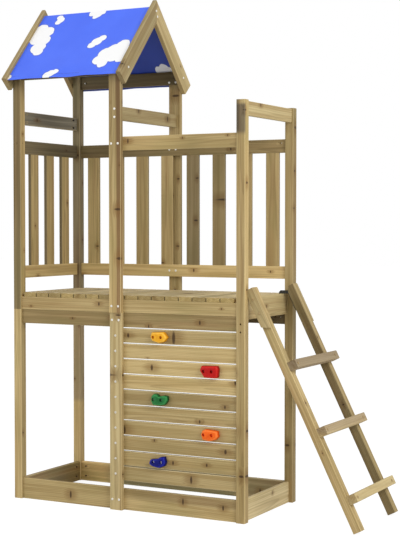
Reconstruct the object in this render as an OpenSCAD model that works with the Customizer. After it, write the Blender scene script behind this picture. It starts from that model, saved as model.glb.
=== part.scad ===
// Wooden climbing frame for young children: a raised deck on its posts,
// a tent roof over the left bay, a climbing wall under the right bay and
// a leaning ladder at the right-hand end.

/* [Tower] */
// Length over the corner posts, left to right
frame_l = 1105; // [1000:5:1300]
// Depth over the corner posts, front to back
frame_w = 498; // [440:2:640]
// Width of a corner post along the length
post_x = 38; // [32:1:50]
// Depth of a corner post, front to back
post_y = 36; // [32:1:50]
// Height of the two posts at the ladder end above the deck
end_rise = 780; // [740:1:860]
// Middle posts, from the left end to their centre line
bay_x = 518; // [480:1:560]
// Width of a middle post
mid_w = 57; // [48:1:70]
// Thickness of a middle post
mid_t = 20; // [16:1:26]
// Width of the bevel on every sawn edge
edge = 2; // [1:0.5:3]

/* [Boards] */
// Thickness of the boards
board_t = 18; // [16:0.5:21]
// Height of the rails and the roof beams
rail_h = 57; // [50:1:64]
// Height of the ground boards and of the deck's end boards
plank_h = 88; // [76:1:96]
// Setback of the boards above the deck from the posts' outer faces
upper_in = 6; // [4:0.5:9]
// Setback of the boards below the deck
lower_in = 10; // [7:0.5:12]
// Setback of the ground boards at the two ends
base_end_in = 17; // [8:0.5:19]
// Setback of the deck's end board at the ladder
rim_end_in = 27; // [18:0.5:28]

/* [Levels] */
// Underside of the beam below the deck
beam_z = 757; // [700:1:820]
// Height of that beam
beam_h = 60; // [50:1:70]
// Height of the board between that beam and the deck
rim_h = 54; // [46:1:64]
// Gap between the deck and the lower fence rails
low_gap = 60; // [40:1:80]
// Height of a lower fence rail
low_rail_h = 53; // [46:1:60]
// From the end posts' tops down to the handrail and the upper fence rails
rail_drop = 129; // [110:1:180]
// From the end posts' tops down to the three bars between front and back
bar_drop = 4; // [2:1:30]

/* [Deck] */
// Number of deck boards
deck_n = 16; // [12:1:18]
// Thickness of a deck board
deck_t = 18; // [15:0.5:22]
// Gap between deck boards
deck_gap = 4; // [3:0.5:8]
// Gap beside the deck's end boards, which takes the ladder hooks
deck_end_gap = 6; // [5.5:0.5:10]

/* [Climbing wall] */
// Least room between the wall and the ground board
wall_foot = 30; // [20:1:60]
// Height of a wall board
wall_h = 59; // [52:0.5:62]
// Gap between wall boards
wall_gap = 4.5; // [3:0.5:8]
// Holds of the left column, from the middle posts' centre line
hold_left_in = 197; // [140:1:220]
// Holds of the right column, from the post at the ladder end
hold_right_in = 121; // [90:1:160]
// Distance between the two bolts of a hold
hold_pitch = 36; // [32:1:40]
// How far a hold stands out from the wall
hold_d = 24; // [20:1:30]
// Depth of its bevelled face
hold_bevel = 9; // [5:1:11]

/* [Fences] */
// Slats in the back fence
back_n = 8; // [6:1:9]
// Gap between a corner post and the nearest slat there
back_end_gap = 35; // [20:1:70]
// Slats in the left-end fence
left_n = 3; // [2:1:4]
// Gap between a corner post and the nearest slat there
left_end_gap = 63; // [30:1:80]
// Width of a slat
slat_w = 60; // [50:1:70]
// Thickness of a slat
slat_t = 15; // [12:0.5:17]
// Thickness of the tongue at each end of a slat
tongue_t = 8; // [6:0.5:10]
// Length of that tongue
tongue_l = 10; // [6:1:16]
// Shoulder at each side of that tongue
tongue_in = 5; // [3:0.5:10]

/* [Roof] */
// Height of the sheet's bearing line at the eaves above the end posts
eave_rise = 175; // [130:1:220]
// How far the bevelled tops of the eaves beams rise above the sheet's bearing line
eave_bevel = 8; // [0:0.5:12]
// Height of the ridge beam above the bearing line at the eaves
ridge_rise = 256; // [200:1:300]
// Width of a rafter
rafter_w = 66; // [56:1:78]
// Thickness of a rafter
rafter_t = 21; // [16:1:26]
// How far the rafters stand above the roof sheet
rafter_rise = 20; // [12:1:30]
// How far the rafters reach past the posts
rafter_over = 54; // [40:1:70]
// How far the roof sheet reaches past the posts
sheet_over = 39; // [20:1:60]
// Thickness of the roof sheet
sheet_t = 2; // [1:0.5:3]
// Room between the roof sheet and the tops of the posts
post_top_gap = 7; // [4:0.5:14]

/* [Ladder] */
// Slope of the ladder from the ground
ladder_a = 63.6; // [60:0.2:68]
// Section of the ladder's side rails and rungs
bar_s = 36; // [32:1:42]
// How far the side rails run on past the posts' face
ladder_top = 26; // [16:1:40]
// Height of the lowest rung's middle
rung_z = 134; // [110:1:160]
// Rise from rung to rung
rung_rise = 250; // [220:1:260]
// Number of rungs
rung_n = 3; // [2:1:3]
// Thickness of the cheek blocks at the ladder's top
cheek_t = 12; // [8:1:18]
// How far the cheek blocks reach below the deck
cheek_drop = 112; // [80:1:170]
// Thickness of a hook plate
hook_t = 4; // [3:0.5:6]
// Thickness of the lip that drops behind the deck's end board
hook_lip = 4; // [3:0.5:4.5]
// Height of the hook above the deck
hook_h = 14; // [10:1:20]
// Depth of that lip
hook_drop = 14; // [8:1:16]
// Length of the hook's strap along the side rail's underside
strap_l = 90; // [75:1:120]
// Width of that strap
strap_w = 24; // [18:1:30]

/* [Fasteners] */
// Radius of a screw's shank
screw_r = 2; // [1.5:0.1:2.5]
// Radius of a screw's head
head_r = 4.5; // [3.5:0.1:5.5]
// Height of a screw's head
head_h = 2.6; // [2:0.1:3.5]
// Half the distance between the two screws of a pair
screw_dx = 16; // [12:0.5:18]
// Radius of the bolts in the holds
bolt_r = 3; // [2.5:0.1:3.5]
// Radius of their heads
bolt_head_r = 5.5; // [4.5:0.1:6]
// Radius of the dowels in the post splices
dowel_r = 5; // [4:0.5:6]
// Length of those dowels
dowel_l = 80; // [50:2:90]
// Radius of the two open holes in the front right post
hole_r = 4; // [3:0.1:5]
// Distance between those holes
hole_pitch = 32; // [24:1:40]
// Height of the upper hole above the beam's underside
hole_rise = 31; // [20:1:60]
// Radius of the two pilot holes in the front left post
pilot_r = 2.5; // [2:0.1:3]
// Depth of those holes
pilot_deep = 12; // [8:1:13]
// Their depth below the upper rails' top
pilot_drop = 12; // [6:1:16]
// Clearance round screws, bolts, dowels and tongues
fit = 0.15; // [0.1:0.05:0.3]
// Clearance between pieces that hang or lie against each other
seat = 0.3; // [0.2:0.05:0.5]

/* [Hidden] */
$fn = 40;

pine = "#C2A56E";
pine_shade = "#A88C59";
pine_pale = "#CFB680";
steel = "#B9B9B4";
dark_steel = "#3B3A36";
sky = "#5A7CFF";

// Inner faces of the corner posts
xl = post_x;
xr = frame_l - post_x;
yf = post_y;
yb = frame_w - post_y;
mid_y = frame_w / 2;
// Long faces of the middle posts
mx0 = bay_x - mid_w / 2;
mx1 = bay_x + mid_w / 2;
// Inner faces of the long boards, front and back, above and below the deck
up_f = upper_in + board_t;
up_b = frame_w - up_f;
lo_f = lower_in + board_t;
lo_b = frame_w - lo_f;
// Levels that follow from others
splice_z = beam_z + beam_h;
rim_z = splice_z + rim_h;
deck_z = rim_z + deck_t;
rim_end_z = deck_z - plank_h;
end_post_h = deck_z + end_rise;
low_rail_z = deck_z + low_gap + low_rail_h;
top_rail_z = end_post_h - rail_drop;
bar_z = end_post_h - bar_drop;
eave_z = end_post_h + eave_rise;
ridge_z = eave_z + ridge_rise;
eave_z1 = eave_z + eave_bevel;
eave_z0 = eave_z1 - rail_h;
hole_z = beam_z + hole_rise;
pilot_z = top_rail_z - pilot_drop;

// Roof slope, with the sheet lying on the ridge beam and the eaves beams
roof_a = atan((ridge_z - eave_z) / (mid_y - board_t / 2 - upper_in));
function under_sheet(y) = eave_z + seat + (y - upper_in) * tan(roof_a);
apex_z = under_sheet(mid_y) + rafter_rise;
foot_z = apex_z - (mid_y + rafter_over) * tan(roof_a);
roof_post_z = under_sheet(upper_in - mid_t) - post_top_gap;

// Deck boards between the two end boards, the left one behind its beam
rim_left_x = lower_in + board_t;
deck_x0 = rim_left_x + board_t + deck_end_gap;
deck_x1 = frame_l - rim_end_in - board_t - deck_end_gap;
deck_w = (deck_x1 - deck_x0 - (deck_n - 1) * deck_gap) / deck_n;
function deck_x(i) = deck_x0 + i * (deck_w + deck_gap);

// Wall boards hang below the beam, counted from the top
wall_n = floor((beam_z - plank_h - wall_foot) / (wall_h + wall_gap));
function wall_top(i) = beam_z - wall_gap - i * (wall_h + wall_gap);
function wall_mid(i) = wall_top(i) - wall_h / 2;
wall_z0 = wall_top(wall_n - 1) - wall_h;

// Slats stand evenly between the posts
function slat_at(a, b, n, i) = a + i * (b - a - slat_w) / (n - 1);
function back_slat_x(i) = slat_at(xl + back_end_gap, xr - back_end_gap, back_n, i);
function left_slat_y(i) = slat_at(yf + left_end_gap, yb - left_end_gap, left_n, i);

// Ladder: the underside of its side rails meets the posts' face at deck height
ladder_lift = 5;
ladder_meet_z = deck_z + ladder_lift;
foot_x = frame_l + ladder_meet_z / tan(ladder_a);
ladder_len = ladder_meet_z / sin(ladder_a) + ladder_top;
side_f = post_y;
side_b = frame_w - post_y - cheek_t - bar_s;
function rung_s(i) = (rung_z + i * rung_rise - 1.5 * bar_s * cos(ladder_a)) / sin(ladder_a);

// The part stands on the ground with its box centred on the origin
centre_x = (foot_x + bar_s * sin(ladder_a) - rafter_t - head_h) / 2;
module placed() {
  translate([-centre_x, -mid_y, 0]) children();
}

// Bevelled sections and the bars made from them
module section(w, h) {
  polygon([
    [edge, 0], [w - edge, 0], [w, edge], [w, h - edge],
    [w - edge, h], [edge, h], [0, h - edge], [0, edge]
  ]);
}
module bar_along_x(x, y, z) {
  translate([x[0], y[0], z[0]]) rotate([90, 0, 90])
    linear_extrude(x[1] - x[0]) section(y[1] - y[0], z[1] - z[0]);
}
module bar_along_y(x, y, z) {
  translate([x[0], y[1], z[0]]) rotate([90, 0, 0])
    linear_extrude(y[1] - y[0]) section(x[1] - x[0], z[1] - z[0]);
}
module bar_along_z(x, y, z) {
  translate([x[0], y[0], z[0]])
    linear_extrude(z[1] - z[0]) section(x[1] - x[0], y[1] - y[0]);
}

// A dome-headed screw: its head stands on z = 0 and its shank points along +Z
module screw(len, r = screw_r, hr = head_r) {
  rotate_extrude() polygon([
    [0, -head_h], [hr * 0.55, -head_h], [hr, -head_h * 0.35], [hr, 0],
    [r, 0], [r, len - r], [0, len]
  ]);
}
module screw_bore(len, r = screw_r) {
  translate([0, 0, -head_h]) cylinder(r = r + fit, h = len + head_h + fit);
}
module along_y(p, dir) {
  translate(p) rotate([-90 * dir, 0, 0]) children();
}
module along_x(p, dir) {
  translate(p) rotate([0, 90 * dir, 0]) children();
}

// Pocket screws at the ends of a board: [x, y, z, heading in plan]
toe_a = 20;
toe_in = 32;
toe_sink = 12;
toe_bite = 13;
toe_len = toe_in / cos(toe_a) - toe_sink + toe_bite;
function toe_x(xe, dir, yi, n, z) =
  [xe - dir * toe_in, yi, z, atan2(-n * sin(toe_a), dir * cos(toe_a))];
function toe_y(ye, dir, xi, n, z) =
  [xi, ye - dir * toe_in, z, atan2(dir * cos(toe_a), -n * sin(toe_a))];
function toes_long(yi, n, zs) =
  [for (z = zs) each [toe_x(xl, -1, yi, n, z), toe_x(xr, 1, yi, n, z)]];
function toes_end(xi, n, zs) =
  [for (z = zs) each [toe_y(yf, -1, xi, n, z), toe_y(yb, 1, xi, n, z)]];
base_toes = [plank_h * 0.25, plank_h * 0.75];
rim_end_toes = [splice_z + rim_h * 0.35, splice_z + rim_h * 0.85];
beam_mid = beam_z + beam_h / 2;
rim_mid = splice_z + rim_h / 2;
low_mid = low_rail_z - low_rail_h / 2;
top_mid = top_rail_z - rail_h / 2;
bar_mid = bar_z - rail_h / 2;
bar_screw_dz = 17;
bar_screw_z = [bar_mid - bar_screw_dz, bar_mid + bar_screw_dz];
eave_screw_z = (eave_z0 + roof_post_z) / 2;
eave_mid = eave_z0 + rail_h / 2;
rail_screw_dz = 12;
T_BASE_F = toes_long(lo_f, 1, base_toes);
T_BASE_B = toes_long(lo_b, -1, base_toes);
T_BASE_L = toes_end(base_end_in + board_t, 1, base_toes);
T_BASE_R = toes_end(frame_l - base_end_in - board_t, -1, base_toes);
T_BEAM_F = toes_long(lo_f, 1, [beam_mid]);
T_BEAM_B = toes_long(lo_b, -1, [beam_mid]);
T_BEAM_L = toes_end(lower_in + board_t, 1, [beam_mid]);
T_RIM_F = toes_long(up_f, 1, [rim_mid]);
T_RIM_B = toes_long(up_b, -1, [rim_mid]);
T_RIM_L = toes_end(rim_left_x + board_t, 1, rim_end_toes);
T_RIM_R = toes_end(frame_l - rim_end_in - board_t, -1, rim_end_toes);
T_HAND = [toe_x(xr, 1, up_f, 1, top_mid)];
T_BACK_TOP = [
  toe_x(xl, -1, frame_w - upper_in, 1, top_mid + rail_screw_dz),
  toe_x(xr, 1, up_b, -1, top_mid + rail_screw_dz)
];
T_BACK_LOW = toes_long(frame_w - upper_in, 1, [low_mid + rail_screw_dz]);
T_LEFT_TOP = toes_end(upper_in, -1, [top_mid - rail_screw_dz]);
T_LEFT_LOW = toes_end(upper_in, -1, [low_mid - rail_screw_dz]);
T_BAR_L = toes_end(up_f, 1, bar_screw_z);
T_BAR_R = toes_end(frame_l - up_f, -1, bar_screw_z);
T_EAVE_F = [toe_x(xl, -1, up_f, 1, eave_mid)];
T_EAVE_B = [toe_x(xl, -1, up_b, -1, eave_mid)];
T_WALL = [for (i = [0:wall_n - 1]) toe_x(xr, 1, lo_f, 1, wall_mid(i))];
BASE_TOES = concat(T_BASE_F, T_BASE_B, T_BASE_L, T_BASE_R);
RAIL_TOES = concat(
  T_BEAM_F, T_BEAM_B, T_BEAM_L, T_RIM_F, T_RIM_B, T_RIM_L, T_RIM_R, T_HAND,
  T_BACK_TOP, T_BACK_LOW, T_LEFT_TOP, T_LEFT_LOW, T_BAR_L, T_BAR_R, T_EAVE_F, T_EAVE_B
);
TOES = concat(BASE_TOES, RAIL_TOES, T_WALL);
module toe_at(t) {
  translate([t[0], t[1], t[2]]) rotate([0, 90, t[3]]) translate([0, 0, toe_sink]) children();
}
module toe_bores(list) {
  for (t = list) toe_at(t) {
    screw_bore(toe_len);
    translate([0, 0, -4 * toe_sink]) cylinder(r = head_r + fit, h = 4 * toe_sink);
  }
}
module toe_shanks(list) {
  for (t = list) toe_at(t) screw_bore(toe_len);
}
function toes_by(x, y, z0, z1) = [
  for (t = TOES)
    if (abs(t[0] - x) < 2 * toe_in + post_x && abs(t[1] - y) < 2 * toe_in + post_y
        && t[2] > z0 && t[2] < z1) t
];

// Screws through the middle posts: [position, heading, length]
pair = [-screw_dx, screw_dx];
tip_cover = 4;
bar_bite = 40;
front_len = mid_t + board_t - tip_cover;
bar_screw_len = mid_t + bar_bite;
FC_LOW = [
  for (z = [plank_h / 2, beam_mid]) for (d = pair) [[bay_x + d, lower_in - mid_t, z], 1, front_len]
];
FC_UP = [
  for (z = [rim_mid, top_mid, eave_screw_z]) for (d = pair)
    [[bay_x + d, upper_in - mid_t, z], 1, front_len]
];
FC_BAR = [for (z = bar_screw_z) [[bay_x, upper_in - mid_t, z], 1, bar_screw_len]];
BC_UP = [
  for (z = [rim_mid, low_mid, top_mid, eave_screw_z]) for (d = pair)
    [[bay_x + d, up_b, z], 1, front_len]
];
BC_BAR = [for (z = bar_screw_z) [[bay_x, frame_w - upper_in + mid_t, z], -1, bar_screw_len]];
module y_bores(list) {
  for (s = list) along_y(s[0], s[1]) screw_bore(s[2]);
}

// Screws through the middle post into the wall boards
WALL_FC = [for (i = [0:wall_n - 1]) [[bay_x, lower_in - mid_t, wall_mid(i)], 1, front_len]];

// Screws through the rafters: [position, heading, length]
roof_bite = 30;
rafter_screw_in = 18;
ridge_dy = head_r + 0.5;
RIDGE_YZ = [[mid_y - ridge_dy, ridge_z - rail_h * 0.3], [mid_y + ridge_dy, ridge_z - rail_h * 0.7]];
EAVE_YZ = [
  for (y = [upper_in + board_t / 2, frame_w - upper_in - board_t / 2]) [y, eave_mid]
];
POST_YZ = [for (y = [post_y * 0.45, frame_w - post_y * 0.45]) [y, roof_post_z - rafter_screw_in]];
RAFTER_R = [
  for (p = concat(EAVE_YZ, RIDGE_YZ)) [[mx1 + rafter_t, p[0], p[1]], -1, rafter_t + roof_bite]
];
RAFTER_L = concat(
  [for (p = POST_YZ) [[-rafter_t, p[0], p[1]], 1, rafter_t + post_x * 0.7]],
  [for (p = RIDGE_YZ) [[-rafter_t, p[0], p[1]], 1, rafter_t + roof_bite]]
);
module x_bores(list) {
  for (s = list) along_x(s[0], s[1]) screw_bore(s[2]);
}

// Dowels in the splices of the posts: [x, y]
mid_dowel_y = (upper_in + lower_in) / 2 - mid_t / 2;
DOWELS = [
  [post_x / 2, post_y / 2], [post_x / 2, frame_w - post_y / 2],
  [bay_x, mid_dowel_y]
];
module dowel_bores() {
  for (d = DOWELS) translate([d[0], d[1], splice_z - dowel_l / 2 - fit])
    cylinder(r = dowel_r + fit, h = dowel_l + 2 * fit);
}

// Space above both slopes of the roof, from some depth below the sheet's underside
module above_roof(x, drop) {
  half = mid_y + sheet_over;
  low = under_sheet(-sheet_over) - drop;
  top = under_sheet(mid_y) - drop;
  translate([x[0], mid_y, 0]) rotate([90, 0, 90]) linear_extrude(x[1] - x[0])
    polygon([[-half, low], [0, top], [half, low], [half, 2 * ridge_z], [-half, 2 * ridge_z]]);
}

// Corner posts of the roofed bay, in a lower and an upper length
module corner_post(y, z) {
  difference() {
    bar_along_z([0, post_x], y, z);
    toe_shanks(toes_by(post_x / 2, (y[0] + y[1]) / 2, z[0], z[1]));
    dowel_bores();
    x_bores(RAFTER_L);
  }
}
module post_fl_lower() color(pine) placed() corner_post([0, post_y], [0, splice_z]);
module post_bl_lower() color(pine_shade) placed() corner_post([yb, frame_w], [0, splice_z]);
module roof_post(y) {
  difference() {
    corner_post(y, [splice_z, under_sheet(post_y)]);
    above_roof([-1, post_x + 1], post_top_gap);
  }
}
module post_fl_upper() color(pine) placed() difference() {
  roof_post([0, post_y]);
  along_y([post_x / 2, -1, pilot_z], 1) cylinder(r = pilot_r, h = pilot_deep + 1);
  along_x([post_x + 1, post_y / 2, pilot_z], -1) cylinder(r = pilot_r, h = pilot_deep + 1);
}
module post_bl_upper() color(pine_shade) placed() roof_post([yb, frame_w]);

// Middle posts, which stand outside the long boards; the back one stops at the deck
module mid_post(y, z, screws) {
  difference() {
    bar_along_z([mx0, mx1], y, z);
    y_bores(screws);
    dowel_bores();
  }
}
module post_fc_lower() color(pine_pale) placed()
  mid_post([lower_in - mid_t, lower_in], [0, splice_z], concat(FC_LOW, WALL_FC));
module post_fc_upper() color(pine) placed()
  mid_post([upper_in - mid_t, upper_in], [splice_z, roof_post_z], concat(FC_UP, FC_BAR));
module post_bc() color(pine_shade) placed()
  mid_post([frame_w - upper_in, frame_w - upper_in + mid_t], [splice_z, roof_post_z],
    concat(BC_UP, BC_BAR));

// Posts at the ladder end, each in one length
module end_post(y) {
  difference() {
    bar_along_z([xr, frame_l], y, [0, end_post_h]);
    toe_shanks(toes_by(frame_l - post_x / 2, (y[0] + y[1]) / 2, 0, end_post_h));
  }
}
module post_fr() color(pine) placed() difference() {
  end_post([0, post_y]);
  for (z = [hole_z - hole_pitch, hole_z]) along_y([frame_l - post_x / 2, -1, z], 1)
    cylinder(r = hole_r, h = post_y + 2);
}
module post_br() color(pine_shade) placed() end_post([yb, frame_w]);

// Boards round the foot of the frame
module base_front() color(pine) placed() difference() {
  bar_along_x([xl, xr], [lower_in, lo_f], [0, plank_h]);
  toe_bores(T_BASE_F);
  y_bores(FC_LOW);
}
module base_back() color(pine) placed() difference() {
  bar_along_x([xl, xr], [lo_b, frame_w - lower_in], [0, plank_h]);
  toe_bores(T_BASE_B);
}
module base_left() color(pine_shade) placed() difference() {
  bar_along_y([base_end_in, base_end_in + board_t], [yf, yb], [0, plank_h]);
  toe_bores(T_BASE_L);
}
module base_right() color(pine) placed() difference() {
  bar_along_y([frame_l - base_end_in - board_t, frame_l - base_end_in], [yf, yb], [0, plank_h]);
  toe_bores(T_BASE_R);
}

// Beams below the deck, with none at the ladder end
module beam_front() color(pine_shade) placed() difference() {
  bar_along_x([xl, xr], [lower_in, lo_f], [beam_z, splice_z]);
  toe_bores(T_BEAM_F);
  y_bores(FC_LOW);
}
module beam_back() color(pine_shade) placed() difference() {
  bar_along_x([xl, xr], [lo_b, frame_w - lower_in], [beam_z, splice_z]);
  toe_bores(T_BEAM_B);
}
module beam_left() color(pine_shade) placed() difference() {
  bar_along_y([lower_in, lower_in + board_t], [yf, yb], [beam_z, splice_z]);
  toe_bores(T_BEAM_L);
}

// Boards that carry and close the deck
module rim_front() color(pine) placed() difference() {
  bar_along_x([xl, xr], [upper_in, up_f], [splice_z, rim_z]);
  toe_bores(T_RIM_F);
  y_bores(FC_UP);
  deck_bores();
}
module rim_back() color(pine) placed() difference() {
  bar_along_x([xl, xr], [up_b, frame_w - upper_in], [splice_z, rim_z]);
  toe_bores(T_RIM_B);
  y_bores(BC_UP);
  deck_bores();
}
module rim_left() color(pine) placed() difference() {
  bar_along_y([rim_left_x, rim_left_x + board_t], [yf, yb], [rim_end_z, deck_z]);
  toe_bores(T_RIM_L);
}
module rim_right() color(pine_pale) placed() difference() {
  bar_along_y([frame_l - rim_end_in - board_t, frame_l - rim_end_in], [yf, yb], [rim_end_z, deck_z]);
  toe_bores(T_RIM_R);
}

// Deck boards from front to back, each with a countersunk screw at either end
deck_bite = 26;
deck_screw_len = deck_t + deck_bite;
DECK_Y = [upper_in + board_t / 2, frame_w - upper_in - board_t / 2];
module deck_screw(grow = 0) {
  rotate_extrude() polygon([
    [0, 0], [head_r + grow, 0], [screw_r + grow, -head_h - grow],
    [screw_r + grow, -deck_screw_len - grow], [0, -deck_screw_len - grow]
  ]);
}
module on_deck() {
  for (i = [0:deck_n - 1]) for (y = DECK_Y)
    translate([deck_x(i) + deck_w / 2, y, deck_z]) children();
}
module deck_bores() {
  on_deck() deck_screw(fit);
}
module deck_boards() color(pine) placed() difference() {
  for (i = [0:deck_n - 1])
    bar_along_y([deck_x(i), deck_x(i) + deck_w], [upper_in, frame_w - upper_in], [rim_z, deck_z]);
  deck_bores();
}
module deck_screws() color(steel) placed() on_deck() deck_screw();

// Climbing wall below the right bay
HOLD_N = 5;
bolt_cover = 3;
hold_bolt_len = hold_d / 2 + board_t - bolt_cover;
function hold_x(i) = i % 2 == 0 ? bay_x + hold_left_in : xr - hold_right_in;
function hold_row(i) = floor(i * wall_n / HOLD_N);
module on_hold(i) {
  translate([hold_x(i), lower_in, wall_mid(hold_row(i))]) rotate([90, 0, 0]) children();
}
module hold_bolt_places(i) {
  for (d = [-1, 1]) on_hold(i) translate([d * hold_pitch / 2, 0, hold_d / 2]) rotate([180, 0, 0]) children();
}
module wall_boards() color(pine) placed() difference() {
  for (i = [0:wall_n - 1])
    bar_along_x([mx0, xr], [lower_in, lo_f], [wall_top(i) - wall_h, wall_top(i)]);
  y_bores(WALL_FC);
  toe_bores(T_WALL);
  for (i = [0:HOLD_N - 1]) hold_bolt_places(i) screw_bore(hold_bolt_len, bolt_r);
}

// Moulded holds: an uneven faceted block with two counterbored bolt holes
module hold(i, outline) {
  placed() difference() {
    on_hold(i) {
      linear_extrude(hold_d - hold_bevel) polygon(outline);
      translate([0, 0, hold_d - hold_bevel]) linear_extrude(hold_bevel, scale = 0.78) polygon(outline);
    }
    hold_bolt_places(i) {
      screw_bore(hold_bolt_len, bolt_r);
      translate([0, 0, -hold_d]) cylinder(r = bolt_head_r + 1, h = hold_d);
    }
  }
}
module hold_yellow() color("#E8B23A")
  hold(0, [[-28, 19], [28, 22], [46, 0], [31, -18], [7, -24], [-26, -15], [-33, 1]]);
module hold_red() color("#C42A22")
  hold(1, [[-30, 21], [40, 23], [46, 10], [43, -23], [30, -27], [-18, -26], [-38, 3]]);
module hold_green() color("#3C7A3E")
  hold(2, [[-30, 12], [-18, 23], [-3, 22], [7, 13], [29, 19], [45, 16], [47, -1], [36, -18],
    [15, -24], [-22, -23], [-30, -9]]);
module hold_orange() color("#EF7A34")
  hold(3, [[-32, 0], [-26, 16], [-13, 22], [42, 18], [46, -5], [33, -18], [6, -25], [-25, -21]]);
module hold_blue() color("#1F2AA0")
  hold(4, [[-40, -6], [-33, 8], [1, 13], [13, 21], [32, 23], [38, 0], [32, -14], [10, -24],
    [-2, -24], [-26, -19], [-38, -13]]);

// Handrail of the right bay
module handrail_front() color(pine) placed() difference() {
  bar_along_x([mx0, xr], [upper_in, up_f], [top_rail_z - rail_h, top_rail_z]);
  toe_bores(T_HAND);
  y_bores(FC_UP);
}

// Fences: slats whose tongues sit in slots in the two rails
slat_z0 = low_rail_z;
slat_z1 = top_rail_z - rail_h;
slat_y = frame_w - upper_in - board_t / 2;
slat_x = upper_in + board_t / 2;
tongue_w = slat_w - 2 * tongue_in;
tongue_z = slat_z1 - slat_z0 + 2 * tongue_l;
module back_slat(i, grow = 0) {
  translate([back_slat_x(i) + tongue_in - grow, slat_y - tongue_t / 2 - grow, slat_z0 - tongue_l - grow])
    cube([tongue_w + 2 * grow, tongue_t + 2 * grow, tongue_z + 2 * grow]);
}
module left_slat(i, grow = 0) {
  translate([slat_x - tongue_t / 2 - grow, left_slat_y(i) + tongue_in - grow, slat_z0 - tongue_l - grow])
    cube([tongue_t + 2 * grow, tongue_w + 2 * grow, tongue_z + 2 * grow]);
}
module fence_back_top() color(pine) placed() difference() {
  bar_along_x([xl, xr], [up_b, frame_w - upper_in], [slat_z1, top_rail_z]);
  toe_bores(T_BACK_TOP);
  y_bores(BC_UP);
  for (i = [0:back_n - 1]) back_slat(i, fit);
}
module fence_back_low() color(pine) placed() difference() {
  bar_along_x([xl, xr], [up_b, frame_w - upper_in], [low_rail_z - low_rail_h, low_rail_z]);
  toe_bores(T_BACK_LOW);
  y_bores(BC_UP);
  for (i = [0:back_n - 1]) back_slat(i, fit);
}
module fence_back_slats() color(pine) placed() for (i = [0:back_n - 1]) {
  x = back_slat_x(i);
  back_slat(i);
  bar_along_z([x, x + slat_w], [slat_y - slat_t / 2, slat_y + slat_t / 2], [slat_z0, slat_z1]);
}
module fence_left_top() color(pine) placed() difference() {
  bar_along_y([upper_in, up_f], [yf, yb], [slat_z1, top_rail_z]);
  toe_bores(T_LEFT_TOP);
  for (i = [0:left_n - 1]) left_slat(i, fit);
}
module fence_left_low() color(pine) placed() difference() {
  bar_along_y([upper_in, up_f], [yf, yb], [low_rail_z - low_rail_h, low_rail_z]);
  toe_bores(T_LEFT_LOW);
  for (i = [0:left_n - 1]) left_slat(i, fit);
}
module fence_left_slats() color(pine) placed() for (i = [0:left_n - 1]) {
  y = left_slat_y(i);
  left_slat(i);
  bar_along_z([slat_x - slat_t / 2, slat_x + slat_t / 2], [y, y + slat_w], [slat_z0, slat_z1]);
}

// Bars between front and back at the left end, the middle and the ladder end
module bar_left() color(pine) placed() difference() {
  bar_along_y([upper_in, up_f], [yf, yb], [bar_z - rail_h, bar_z]);
  toe_bores(T_BAR_L);
}
module bar_middle() color(pine_pale) placed() difference() {
  bar_along_y([bay_x - board_t / 2, bay_x + board_t / 2], [upper_in, frame_w - upper_in],
    [bar_z - rail_h, bar_z]);
  y_bores(FC_BAR);
  y_bores(BC_BAR);
}
module bar_right() color(pine) placed() difference() {
  bar_along_y([frame_l - up_f, frame_l - upper_in], [yf, yb], [bar_z - rail_h, bar_z]);
  toe_bores(T_BAR_R);
}

// Roof over the left bay
module eave_front() color(pine) placed() difference() {
  bar_along_x([xl, mx1], [upper_in, up_f], [eave_z0, eave_z1]);
  above_roof([xl - 1, mx1 + 1], seat);
  toe_bores(T_EAVE_F);
  y_bores(FC_UP);
  x_bores(RAFTER_R);
}
module eave_back() color(pine_shade) placed() difference() {
  bar_along_x([xl, mx1], [up_b, frame_w - upper_in], [eave_z0, eave_z1]);
  above_roof([xl - 1, mx1 + 1], seat);
  toe_bores(T_EAVE_B);
  y_bores(BC_UP);
  x_bores(RAFTER_R);
}
module ridge_beam() color(pine) placed() difference() {
  bar_along_x([0, mx1], [mid_y - board_t / 2, mid_y + board_t / 2], [ridge_z - rail_h, ridge_z]);
  x_bores(concat(RAFTER_L, RAFTER_R));
}
module rafter(x) {
  run = (mid_y + rafter_over) / cos(roof_a) + rafter_w;
  difference() {
    translate([x, -rafter_over, foot_z]) rotate([roof_a - 90, 0, 0])
      bar_along_z([0, rafter_t], [0, rafter_w], [0, run]);
    translate([x - 1, mid_y, foot_z]) cube([rafter_t + 2, 2 * run, 2 * run]);
  }
}
module rafter_back(x) {
  translate([0, frame_w, 0]) mirror([0, 1, 0]) rafter(x);
}
module rafter_lf() color(pine_pale) placed() difference() {
  rafter(-rafter_t);
  x_bores(RAFTER_L);
}
module rafter_lb() color(pine_shade) placed() difference() {
  rafter_back(-rafter_t);
  x_bores(RAFTER_L);
}
module rafter_rf() color(pine_pale) placed() difference() {
  rafter(mx1);
  x_bores(RAFTER_R);
}
module rafter_rb() color(pine) placed() difference() {
  rafter_back(mx1);
  x_bores(RAFTER_R);
}

// Roof sheet, stretched over the ridge beam and the eaves beams
module roof_sheet() color(sky) placed() {
  run = board_t / 2;
  half = mid_y + sheet_over;
  low = under_sheet(-sheet_over);
  top = ridge_z + seat;
  flare = sheet_t * tan(roof_a / 2);
  translate([seat, mid_y, 0]) rotate([90, 0, 90]) linear_extrude(mx1 - 2 * seat) polygon([
    [-half, low], [-run, top], [run, top], [half, low],
    [half, low + sheet_t / cos(roof_a)], [run + flare, top + sheet_t],
    [-run - flare, top + sheet_t], [-half, low + sheet_t / cos(roof_a)]
  ]);
}

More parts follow.
